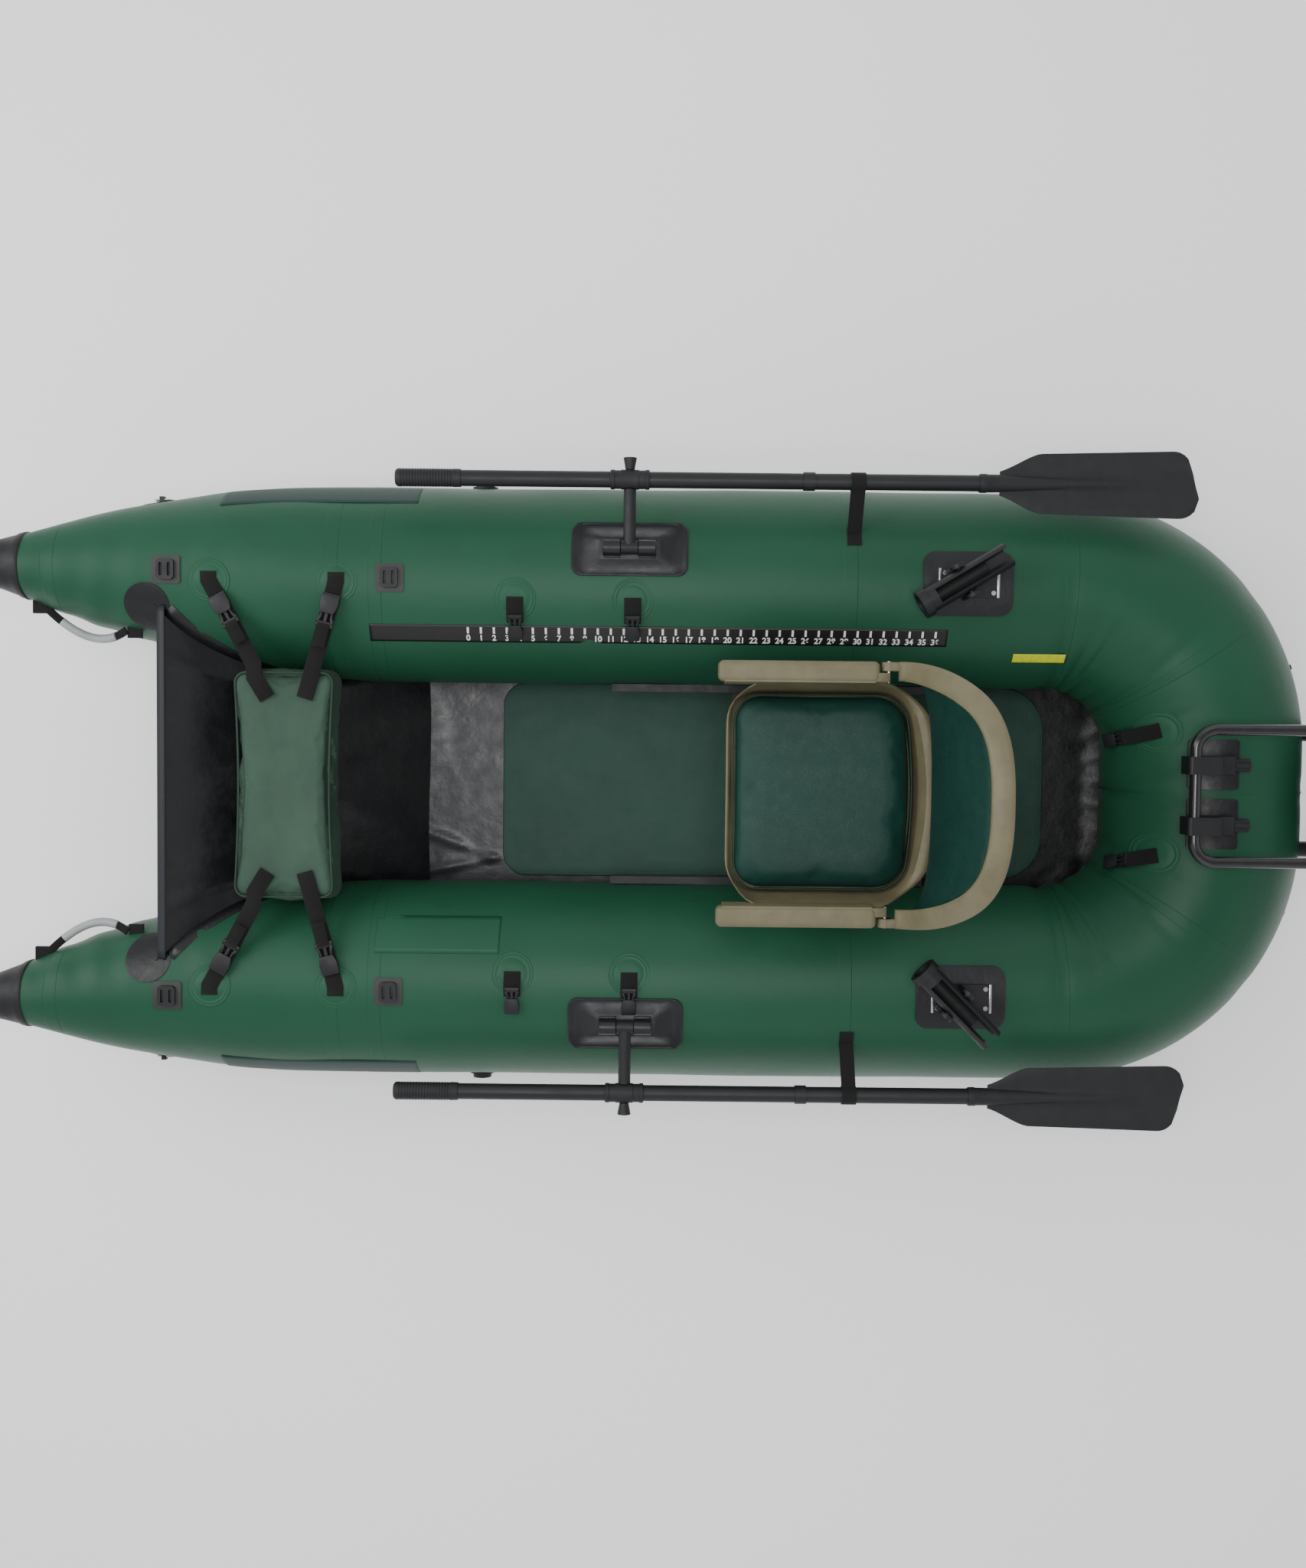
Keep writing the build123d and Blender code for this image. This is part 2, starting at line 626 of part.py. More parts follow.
def oar_shaft():
    """Two-piece tube shaft with its joint ring, from the grip into the blade socket."""
    start = OARLOCK_X - OAR_FRONT + 20
    blade_start = OARLOCK_X - OAR_FRONT + OAR_LENGTH - BLADE_LENGTH
    tube = cylinder_x(SHAFT_RADIUS, start, blade_start, OAR_Y, OARLOCK_Z)
    bore = cylinder_x(SHAFT_RADIUS - SHAFT_WALL, start - 1, blade_start + 1, OAR_Y, OARLOCK_Z)
    hole = cylinder_y(PIN_RADIUS + RUN_CLEARANCE, OAR_Y - 30, OAR_Y + 30, OARLOCK_X, OARLOCK_Z)
    ring_x = OARLOCK_X + OAR_RING_OFFSET
    collar = cylinder_x(OAR_RING_RADIUS, ring_x, ring_x + OAR_RING_LENGTH, OAR_Y, OARLOCK_Z)
    return (tube + collar) - bore - hole


def oar_sleeve():
    """Cross clamp that carries the shaft on the oarlock pin."""
    half = SLEEVE_LENGTH / 2
    body = cylinder_x(SLEEVE_RADIUS, OARLOCK_X - half, OARLOCK_X + half, OAR_Y, OARLOCK_Z)
    bore = cylinder_x(SHAFT_RADIUS, OARLOCK_X - half - 1, OARLOCK_X + half + 1, OAR_Y, OARLOCK_Z)
    hole = cylinder_y(PIN_RADIUS + RUN_CLEARANCE, OAR_Y - 30, OAR_Y + 30, OARLOCK_X, OARLOCK_Z)
    return body - bore - hole


def oar_blade():
    """Flat blade with a central rib, its end edge cut on a slant."""
    root = OARLOCK_X - OAR_FRONT + OAR_LENGTH - BLADE_LENGTH
    tip = root + BLADE_LENGTH
    half = BLADE_T / 2
    with BuildPart() as blade:
        with BuildSketch(Plane.XY.offset(OARLOCK_Z - half)):
            with BuildLine():
                Polyline(
                    (root, OAR_Y - BLADE_NECK), (root + 77, OAR_Y - BLADE_SHOULDER),
                    (tip, OAR_Y - BLADE_TIP), (tip - 14, OAR_Y + BLADE_TIP),
                    (root + 77, OAR_Y + BLADE_SHOULDER), (root, OAR_Y + BLADE_NECK), close=True)
            make_face()
        extrude(amount=BLADE_T)
        far_corners = blade.edges().filter_by(Axis.Z).group_by(Axis.X)[-1]
        far_corners += blade.edges().filter_by(Axis.Z).group_by(Axis.X)[-2]
        fillet(far_corners, 38)
    plane = Plane((root - 39, OAR_Y, OARLOCK_Z), z_dir=(1, 0, 0))
    rib = loft([plane * Circle(SHAFT_RADIUS + 2), plane.offset(60) * Circle(BLADE_RIB_RADIUS + 1),
                plane.offset(320) * Circle(4)])
    socket = cylinder_x(SHAFT_RADIUS, root - 50, root, OAR_Y, OARLOCK_Z)
    return (blade.part + rib) - socket


def oar_straps():
    """Webbing band that holds each stowed oar, with its tail welded to the tube."""
    low, high = OAR_STRAP_X - WEB_WIDTH / 2, OAR_STRAP_X + WEB_WIDTH / 2
    inner = SHAFT_RADIUS + OAR_STRAP_GAP
    band = cylinder_x(inner + WEB_T, low, high, OAR_Y, OARLOCK_Z)
    band -= cylinder_x(inner, low - 1, high + 1, OAR_Y, OARLOCK_Z)
    foot_z = TUBE_Z + math.sqrt(TUBE_RADIUS ** 2 - (OAR_STRAP_Y - PONTOON_Y) ** 2)
    tail = bar_between((OAR_STRAP_X, OAR_STRAP_Y, foot_z + 3),
                       (OAR_STRAP_X, OAR_Y - inner - WEB_T + 1, OARLOCK_Z), WEB_WIDTH, WEB_T)
    weld = patch(straight_form, Rectangle(WEB_WIDTH, 34), OAR_STRAP_X, OAR_STRAP_Y - 8, 0, WEB_T)
    return both_sides(band + tail + weld)


# ---- bench, pedestal and seat ----
def bench_rails():
    """Grooved rails on the inner flanks that the bench board slides in."""
    skin_y = PONTOON_Y - TUBE_RADIUS
    half = RAIL_HEIGHT / 2
    rail = block(RAIL_FRONT_X, RAIL_AFT_X, skin_y - RAIL_REACH, skin_y + 4, TUBE_Z - half, TUBE_Z + half)
    groove_half = BENCH_T / 2 + BENCH_CLEARANCE
    groove = block(RAIL_FRONT_X - 1, RAIL_AFT_X + 1, skin_y - RAIL_REACH - 1, skin_y - 3,
                   TUBE_Z - groove_half, TUBE_Z + groove_half)
    return both_sides(rail - straight_form(0) - groove)


def bench_board():
    """Rigid board that carries the pedestal between the rails."""
    half_width = PONTOON_Y - TUBE_RADIUS - 3 - BENCH_CLEARANCE
    half = BENCH_LENGTH / 2
    board = block(SEAT_X - half, SEAT_X + half, -half_width, half_width, TUBE_Z - BENCH_T / 2, TUBE_Z + BENCH_T / 2)
    return fillet(board.edges().filter_by(Axis.Z), 12)


def pedestal():
    """Welded post with a base flange and a top plate."""
    low = TUBE_Z + BENCH_T / 2
    high = PAN_BOTTOM_Z - 2 * PLATE_T - BEARING_GAP
    flange = prism(RectangleRounded(PEDESTAL_FLANGE, PEDESTAL_FLANGE, 15), SEAT_X, 0, low, low + PLATE_T)
    post = cylinder_z(PEDESTAL_RADIUS, low, high, SEAT_X, 0)
    post -= cylinder_z(PEDESTAL_RADIUS - PEDESTAL_WALL, low + PLATE_T, high - PLATE_T, SEAT_X, 0)
    top = prism(RectangleRounded(150, 150, 12), SEAT_X, 0, high - PLATE_T, high)
    spigot = cylinder_z(BOLT_RADIUS, high, high + BEARING_GAP + PLATE_T, SEAT_X, 0)
    return flange + post + top + spigot


def swivel_plate():
    """Upper plate of the swivel, which the seat pan is bolted to."""
    low = PAN_BOTTOM_Z - PLATE_T
    plate = prism(RectangleRounded(170, 170, 12), SEAT_X, 0, low, PAN_BOTTOM_Z)
    return plate - cylinder_z(BOLT_RADIUS + RUN_CLEARANCE, low - 1, PAN_BOTTOM_Z + 1, SEAT_X, 0)


def seat_outline(front, aft, half_width, corner, bulge):
    """Plan of a seat layer: square front corners, rounded back that bulges aft."""
    edge = SEAT_X + aft
    with BuildSketch() as outline:
        with BuildLine():
            Polyline((edge, half_width), (SEAT_X - front, half_width), (SEAT_X - front, -half_width),
                     (edge, -half_width))
            ThreePointArc((edge, -half_width), (edge + bulge, 0), (edge, half_width))
        make_face()
        fillet(outline.vertices(), corner)
    return outline.sketch


def seat_pan():
    """Moulded pan with side walls and hollow armrests."""
    floor_outline = seat_outline(PAN_FRONT, PAN_AFT - 18, PAN_HALF_WIDTH, 24, 30)
    pan = prism(floor_outline, 0, 0, PAN_BOTTOM_Z, PAN_BOTTOM_Z + PAN_T)
    rim = prism(floor_outline, 0, 0, PAN_BOTTOM_Z, BACK_BOTTOM_Z - 2)
    rim -= prism(offset(floor_outline, -8), 0, 0, PAN_BOTTOM_Z - 1, BACK_BOTTOM_Z)
    rim -= block(SEAT_X - PAN_FRONT - 1, SEAT_X - PAN_FRONT + 30, -190, 190, PAN_BOTTOM_Z + 20, ARM_TOP_Z)
    return pan + rim + both_sides(armrest())


def armrest():
    """Starboard side wall and hollow armrest, with the lug of the back's hinge."""
    front = SEAT_X - ARM_FRONT
    hinge_x = SEAT_X + HINGE_OFFSET
    aft = hinge_x - LUG_RADIUS - 3
    inner = SEAT_HALF_WIDTH - ARM_WIDTH
    arm = block(front, aft, inner, SEAT_HALF_WIDTH, ARM_TOP_Z - ARM_DEPTH, ARM_TOP_Z)
    arm = fillet(arm.edges().filter_by(Axis.X).group_by(Axis.Z)[-1], 7)
    arm -= block(front + 5, aft - 5, inner + 5, SEAT_HALF_WIDTH - 5, ARM_TOP_Z - ARM_DEPTH - 1, ARM_TOP_Z - 5)
    wall = block(SEAT_X - PAN_FRONT, aft, inner - 5, inner + 5, PAN_BOTTOM_Z, ARM_TOP_Z - ARM_DEPTH + 6)
    lug_outer = inner + ARM_WIDTH / 2 - LUG_GAP / 2
    lug = cylinder_y(LUG_RADIUS, inner, lug_outer, hinge_x, HINGE_Z)
    lug += block(aft - 1, hinge_x, inner, lug_outer, HINGE_Z - LUG_RADIUS + 1, HINGE_Z + LUG_RADIUS - 1)
    bore = cylinder_y(HINGE_PIN_RADIUS, inner - 6, SEAT_HALF_WIDTH + 1, hinge_x, HINGE_Z)
    return (arm + wall + lug) - bore


def seat_hinge_pins():
    """Pins pressed in the armrest lugs, on which the back folds."""
    inner = SEAT_HALF_WIDTH - ARM_WIDTH
    return both_sides(cylinder_y(HINGE_PIN_RADIUS, inner, SEAT_HALF_WIDTH, SEAT_X + HINGE_OFFSET, HINGE_Z))


def bucket(inset):
    """Leaning body of the wrap-around back, at a distance inside its outer face."""
    layers = []
    for z, aft, half in ((BACK_BOTTOM_Z, BACK_BOTTOM_AFT, SEAT_HALF_WIDTH - 1),
                         (BACK_TOP_Z, BACK_TOP_AFT, SEAT_HALF_WIDTH)):
        front = SEAT_X - 40
        depth = SEAT_X + aft - inset - front
        width = 2 * (half - inset)
        corner = 172.0 - inset
        slab = RectangleRounded(2 * depth, width, corner)
        layers.append(Pos(front, 0, z) * slab)
    return loft(layers)


def side_profile(top, bottom):
    """Slab seen from the side, between two outlines of (offset aft, height), across the seat."""
    points = [(SEAT_X + x, z) for x, z in top] + [(SEAT_X + x, z) for x, z in reversed(bottom)]
    face = Plane.XZ * make_face(Polyline(*points, close=True))
    return extrude(face, SEAT_HALF_WIDTH + 10, both=True)


def back_edge(drop):
    """Upper edge of the back seen from the side, from the hinge up to the top."""
    start = HINGE_OFFSET + LUG_RADIUS + 3
    rise = BACK_TOP_Z - ARM_TOP_Z
    return [(start, ARM_TOP_Z - drop), (start + 26, ARM_TOP_Z + 0.1 * rise - drop),
            (start + 80, ARM_TOP_Z + 0.52 * rise - drop), (start + 124, ARM_TOP_Z + 0.86 * rise - drop),
            (BACK_TOP_AFT + 8, BACK_TOP_Z - drop)]


def seat_back():
    """Moulded wrap-around back with a broad rim and the hinge knuckles."""
    low_edge = [(HINGE_OFFSET + LUG_RADIUS + 3, ARM_TOP_Z - ARM_DEPTH), (HINGE_OFFSET + 60, BACK_BOTTOM_Z + 1),
                (BACK_TOP_AFT + 8, BACK_BOTTOM_Z + 1)]
    wall = (bucket(0) - bucket(BACK_WALL)) & side_profile(back_edge(0), low_edge)
    rim = (bucket(0) - bucket(ARM_WIDTH)) & side_profile(back_edge(0), back_edge(12))
    knuckle_inner = SEAT_HALF_WIDTH - ARM_WIDTH / 2 + LUG_GAP / 2
    hinge_x = SEAT_X + HINGE_OFFSET
    knuckle = cylinder_y(LUG_RADIUS, knuckle_inner, SEAT_HALF_WIDTH - 0.5, hinge_x, HINGE_Z)
    knuckle += block(hinge_x, hinge_x + LUG_RADIUS + 10, knuckle_inner, SEAT_HALF_WIDTH - 0.5,
                     HINGE_Z - LUG_RADIUS + 1, HINGE_Z + LUG_RADIUS - 1)
    bore = cylinder_y(HINGE_PIN_RADIUS + RUN_CLEARANCE, knuckle_inner - 1, SEAT_HALF_WIDTH + 1, hinge_x, HINGE_Z)
    return wall + rim + both_sides(knuckle - bore)


def seat_cushion():
    """Seat cushion as a plain rounded block."""
    outline = seat_outline(CUSHION_FRONT, CUSHION_AFT - 16, CUSHION_HALF_WIDTH, CUSHION_CORNER, 22)
    low = PAN_BOTTOM_Z + PAN_T
    return prism(outline, 0, 0, low, low + CUSHION_T)


def back_cushion():
    """Crescent cushion inside the back."""
    top = [(x, z - 16) for x, z in back_edge(0)]
    bottom = [(top[0][0], BACK_BOTTOM_Z + 6), (BACK_TOP_AFT + 8, BACK_BOTTOM_Z + 6)]
    room = side_profile(top, bottom) & block(SEAT_X + HINGE_OFFSET + 62, SEAT_X + 400, -190, 190, 0, 2000)
    return (bucket(BACK_WALL) - bucket(BACK_WALL + BACK_CUSHION_T)) & room


# ---- rod holders ----
def rod_pads():
    """Rounded pads under the rod holders."""
    outline = RectangleRounded(ROD_PAD_LENGTH, ROD_PAD_WIDTH, ROD_PAD_CORNER)
    return both_sides(patch(straight_form, outline, ROD_PAD_X, PONTOON_Y, 0, PAD_T))


def rod_bracket():
    """Mounting plate with the round post that the holder turns on."""
    low, high = CREST_Z - 6, CREST_Z + PAD_T + 5
    plate = block(ROD_PAD_X - ROD_PLATE_LENGTH / 2, ROD_PAD_X + ROD_PLATE_LENGTH / 2,
                  PONTOON_Y - ROD_PLATE_WIDTH / 2, PONTOON_Y + ROD_PLATE_WIDTH / 2, low, high)
    plate -= straight_form(PAD_T)
    post = cylinder_z(ROD_POST_RADIUS, CREST_Z + PAD_T, high + 26, ROD_PIVOT_X, PONTOON_Y)
    return plate + post - bolt_holes(rod_bolt_points(), high)


def rod_bolt_points():
    """Plan positions of the bracket's bolts."""
    dx = ROD_PLATE_LENGTH / 2 - 9
    dy = ROD_PLATE_WIDTH / 2 - 9
    return [(ROD_PAD_X + a * dx, PONTOON_Y + b * dy) for a in (-1, 1) for b in (-1, 1)]


def bolt_holes(points, top):
    """Holes for the bracket bolts."""
    holes = [cylinder_z(2.5, top - 4, top + 1, x, y) for x, y in points]
    return Part(holes[0].wrapped) + holes[1:]


def rod_swivel(yaw):
    """Turning socket on the bracket post, with the two ears that hold the cradle."""
    low = CREST_Z + PAD_T + 5.5
    socket = cylinder_z(ROD_SWIVEL_RADIUS, low, low + 32, ROD_PIVOT_X, PONTOON_Y)
    socket -= cylinder_z(ROD_POST_RADIUS + RUN_CLEARANCE, low - 1, low + 26.2, ROD_PIVOT_X, PONTOON_Y)
    ears = block(-14, 14, -34, 34, low + 26.5, ROD_TILT_Z)
    ears += cylinder_y(14, -34, 34, 0, ROD_TILT_Z)
    ears -= block(-40, 40, -27, 27, low + 32, ROD_TILT_Z + 40)
    ears -= cylinder_y(5 + RUN_CLEARANCE, -40, 40, 0, ROD_TILT_Z)
    return socket + Pos(ROD_PIVOT_X, PONTOON_Y, 0) * Rot(0, 0, yaw) * ears


def rod_cradle(yaw):
    """Open tube cradle on trunnions, with a closed ring at one end and a fork at the other."""
    half = ROD_CRADLE_LENGTH / 2
    tube = cylinder_x(ROD_CRADLE_RADIUS, -half, half, 0, 0)
    tube += cylinder_x(ROD_CRADLE_RADIUS + 4, -half, -half + 16, 0, 0)
    tube += cylinder_y(5, -34, 34, 0, 0)
    tube -= cylinder_x(ROD_BORE_RADIUS, -half - 1, half + 1, 0, 0)
    tube -= block(-half + 34, half + 1, -14, 14, 0, 60)
    tube -= block(half - 40, half + 1, -9, 9, -60, 0)
    return Pos(ROD_PIVOT_X, PONTOON_Y, ROD_TILT_Z) * Rot(0, 0, yaw) * tube


# ---- motor mount ----
def frame_tube(radius):
    """Bent tube of the motor frame."""
    points = [(FRAME_AFT_X, -FRAME_HALF_WIDTH, FRAME_FOOT_Z), (FRAME_AFT_X, -FRAME_HALF_WIDTH, FRAME_Z),
              (FRAME_FRONT_X, -FRAME_HALF_WIDTH, FRAME_Z), (FRAME_FRONT_X, FRAME_HALF_WIDTH, FRAME_Z),
              (FRAME_AFT_X, FRAME_HALF_WIDTH, FRAME_Z), (FRAME_AFT_X, FRAME_HALF_WIDTH, FRAME_FOOT_Z)]
    path = FilletPolyline(*points, radius=FRAME_BEND)
    return sweep(Plane(points[0], z_dir=(0, 0, 1)) * Circle(radius), path=path)


def motor_frame():
    """U-frame of bent steel tube that carries the motor board."""
    return frame_tube(FRAME_TUBE_RADIUS) - frame_tube(FRAME_TUBE_RADIUS - FRAME_TUBE_WALL)


def motor_board():
    """Board that a small outboard motor clamps to."""
    low = FRAME_FOOT_Z - 6
    half = MOTOR_BOARD_WIDTH / 2
    board = block(BOARD_AFT_X - MOTOR_BOARD_T, BOARD_AFT_X, -half, half, low, low + MOTOR_BOARD_HEIGHT)
    return fillet(board.edges().filter_by(Axis.X), 18)


def board_bolts():
    """Bolt heads on the board's forward face, beside the legs."""
    pieces = []
    for z in (FRAME_FOOT_Z + 30, FRAME_FOOT_Z + 160):
        x = BOARD_AFT_X - MOTOR_BOARD_T
        y = FRAME_HALF_WIDTH - FRAME_TUBE_RADIUS - 8
        pieces.append(cylinder_x(BOLT_HEAD_RADIUS, x - 5, x, y, z))
    return pieces


def bolts():
    """Bolt heads of the rod brackets and the motor board."""
    top = CREST_Z + PAD_T + 5
    pieces = []
    for x, y in rod_bolt_points():
        pieces.append(cylinder_z(2.5, top - 4, top, x, y) + cylinder_z(4.5, top, top + 3, x, y))
    pieces += board_bolts()
    return Compound(children=pieces + [to_port(p) for p in pieces])


def motor_pads():
    """Pads under the clips and on the aft face, and the rubber buffers behind the legs."""
    outline = RectangleRounded(MOTOR_PAD_LENGTH, MOTOR_PAD_WIDTH, 6)
    pad = patch(stern_form, outline, FRAME_FRONT_X + 58, MOTOR_PAD_Y, 0, PAD_T)
    y = FRAME_HALF_WIDTH - 8
    buffer = cylinder_x(16, STERN_X + TUBE_RADIUS - 20, FRAME_AFT_X - FRAME_TUBE_RADIUS + 6, y, FRAME_FOOT_Z + 20)
    buffer -= cylinder_z(FRAME_TUBE_RADIUS, 0, 400, FRAME_AFT_X, FRAME_HALF_WIDTH)
    pieces = [pad, buffer - stern_form(0)]
    return Compound(children=pieces + [to_port(p) for p in pieces])


def motor_clip():
    """Clip on the pad that grips the frame's front bar."""
    low = CREST_Z - 14
    half = CLIP_WIDTH / 2
    front = FRAME_FRONT_X - 17
    foot = block(FRAME_FRONT_X + 12, FRAME_FRONT_X + 84, MOTOR_PAD_Y - half, MOTOR_PAD_Y + half, low, CREST_Z + 42)
    foot -= stern_form(PAD_T)
    jaw = block(front, FRAME_FRONT_X + 50, MOTOR_PAD_Y - half, MOTOR_PAD_Y + half, CREST_Z + 24, FRAME_Z + 16)
    jaw = fillet(jaw.edges().filter_by(Axis.Y), 8)
    body = foot + jaw
    body -= cylinder_y(FRAME_TUBE_RADIUS, -200, 200, FRAME_FRONT_X, FRAME_Z)
    hole = cylinder_x(4 + RUN_CLEARANCE, FRAME_FRONT_X + 40, FRAME_FRONT_X + 90, MOTOR_PAD_Y, CREST_Z + 30)
    return body - hole


def motor_knob():
    """Clamp screw and knob behind one clip."""
    z = CREST_Z + 30
    start = FRAME_FRONT_X + 84.5
    screw = cylinder_x(4, FRAME_FRONT_X + 42, start + 1, MOTOR_PAD_Y, z)
    knob = cylinder_x(MOTOR_KNOB_RADIUS, start, start + 30, MOTOR_PAD_Y, z)
    for turn in range(0, 360, 60):
        notch = Rot(turn, 0, 0) * Pos(0, MOTOR_KNOB_RADIUS + 1, 0) * cylinder_x(3, start - 1, start + 31, 0, 0)
        knob -= Pos(0, MOTOR_PAD_Y, z) * notch
    return screw + knob


def ruler_decal():
    """Measuring strip on the inner shoulder of the starboard tube."""
    aft = RULER_FRONT_X + RULER_LENGTH
    band = cylinder_x(TUBE_RADIUS + DECAL_T, RULER_FRONT_X, aft, PONTOON_Y, TUBE_Z)
    band -= cylinder_x(TUBE_RADIUS, RULER_FRONT_X - 1, aft + 1, PONTOON_Y, TUBE_Z)
    low = math.radians(RULER_ANGLE - RULER_HALF_ANGLE)
    high = math.radians(RULER_ANGLE + RULER_HALF_ANGLE)
    reach = 2 * TUBE_RADIUS
    points = [(0, 0), (-reach * math.sin(low), reach * math.cos(low)),
              (-reach * math.sin(high), reach * math.cos(high))]
    side = Plane((RULER_FRONT_X, PONTOON_Y, TUBE_Z), x_dir=(0, 1, 0), z_dir=(1, 0, 0))
    face = side * make_face(Polyline(*points, close=True))
    return band & extrude(face, RULER_LENGTH)


def build_hull():
    starboard = chamber()
    save(starboard, "starboard_chamber")
    save(to_port(starboard), "port_chamber")
    save(chamber_baffle(), "chamber_baffle")
    save(both_sides(nose_cap()), "nose_caps")
    save(both_sides(valve_body()), "valve_bodies")
    save(floor_sheet(), "floor_sheet")
    save(bow_apron(), "bow_apron")
    save(apron_patches(), "apron_patches")
    save(floorboard(), "floorboard")
    save(bench_rails(), "bench_rails")


def build_deck():
    save(strap_patches(), "strap_patches")
    save(webbing_straps(), "webbing_straps")
    save(buckles(), "buckles")
    save(stowage_bag(), "stowage_bag")
    save(lash_pads(), "lash_pads")
    save(lash_fittings(), "lash_fittings")
    save(ring_patches(), "ring_patches")
    save(handle_anchors(), "handle_anchors")
    save(ruler_decal(), "ruler_decal")
    save(both_sides(oarlock_pad()), "oarlock_pads")
    save(oar_straps(), "oar_straps")
    save(rod_pads(), "rod_pads")
    save(both_sides(rod_bracket()), "rod_brackets")
    save(bolts(), "bolts")
    save(motor_pads(), "motor_pads")
    save(both_sides(motor_clip()), "motor_clips")
    save(motor_frame(), "motor_frame")
    save(motor_board(), "motor_board")


def build_moving_pairs():
    pairs = {
        "bow_ring": ring(bow_ring_place()),
        "stern_ring": ring(stern_ring_place()),
        "grab_handle": grab_handle(),
        "valve_cap": valve_cap(),
        "oarlock_pin": oarlock_pin(),
        "oar_grip": oar_grip(),
        "oar_shaft": oar_shaft(),
        "oar_sleeve": oar_sleeve(),
        "oar_blade": oar_blade(),
        "motor_knob": motor_knob(),
    }
    for name, shape in pairs.items():
        save(shape, f"starboard_{name}")
        save(to_port(shape), f"port_{name}")
    save(rod_swivel(ROD_YAW_STARBOARD), "starboard_rod_swivel")
    save(rod_cradle(ROD_YAW_STARBOARD), "starboard_rod_cradle")
    save(to_port(rod_swivel(ROD_YAW_PORT)), "port_rod_swivel")
    save(to_port(rod_cradle(ROD_YAW_PORT)), "port_rod_cradle")


def build_seat():
    save(bench_board(), "bench_board")
    save(pedestal(), "pedestal")
    save(swivel_plate(), "swivel_plate")
    save(seat_pan(), "seat_pan")
    save(seat_hinge_pins(), "seat_hinge_pins")
    save(seat_back(), "seat_back")
    save(seat_cushion(), "seat_cushion")
    save(back_cushion(), "back_cushion")


build_hull()
build_deck()
build_moving_pairs()
build_seat()
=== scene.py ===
"""Looks of the inflatable fishing boat: hull, floor, seat, fittings, materials, light and camera."""

import json
import math

import bmesh
import bpy
from mathutils import Matrix, Vector, noise


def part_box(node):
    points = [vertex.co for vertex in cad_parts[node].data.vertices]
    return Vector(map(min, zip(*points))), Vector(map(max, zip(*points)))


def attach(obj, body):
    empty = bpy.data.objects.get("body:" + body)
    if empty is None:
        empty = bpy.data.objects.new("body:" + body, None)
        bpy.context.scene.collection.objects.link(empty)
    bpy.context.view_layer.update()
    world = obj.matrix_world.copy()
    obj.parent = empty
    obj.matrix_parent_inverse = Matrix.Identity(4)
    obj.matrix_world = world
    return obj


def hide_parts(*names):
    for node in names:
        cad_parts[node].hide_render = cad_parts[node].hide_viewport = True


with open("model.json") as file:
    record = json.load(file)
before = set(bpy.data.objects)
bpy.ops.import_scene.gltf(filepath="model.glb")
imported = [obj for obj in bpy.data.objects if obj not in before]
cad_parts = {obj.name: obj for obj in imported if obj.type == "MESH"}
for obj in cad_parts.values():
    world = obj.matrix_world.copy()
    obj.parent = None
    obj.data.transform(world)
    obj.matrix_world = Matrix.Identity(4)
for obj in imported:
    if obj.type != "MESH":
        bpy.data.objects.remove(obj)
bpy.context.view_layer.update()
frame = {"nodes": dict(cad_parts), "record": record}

# ---- sizes taken from the frame, and the hull's own sizes, in metres ----
TIP_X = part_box("starboard_chamber")[0][0]
OUTER_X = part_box("starboard_chamber")[1][0]
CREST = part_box("chamber_baffle")[1][2]
RADIUS = CREST / 2
CORNER_RADIUS = 0.32
CONE_LENGTH = 0.841
CONE_SPLAY = 0.026
CONE_TAPER = ((0.0, 1.0), (0.2, 0.957), (0.33, 0.897), (0.53, 0.69), (0.61, 0.605), (0.7, 0.469),
              (0.8, 0.302), (0.87, 0.196), (1.0, 0.05))
STERN_X = OUTER_X - RADIUS
TAPER_X = TIP_X + CONE_LENGTH
PONTOON_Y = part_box("starboard_chamber")[1][1] - RADIUS
CORNER_X = STERN_X - CORNER_RADIUS
CORNER_Y = PONTOON_Y - CORNER_RADIUS
STRAIGHT = CORNER_X - TAPER_X
BEND = CORNER_RADIUS * math.pi / 2
PATH_LENGTH = CONE_LENGTH + STRAIGHT + BEND + CORNER_Y
SEAT_X = (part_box("pedestal")[0][0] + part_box("pedestal")[1][0]) / 2
SIDES = {"starboard": 1.0, "port": -1.0}


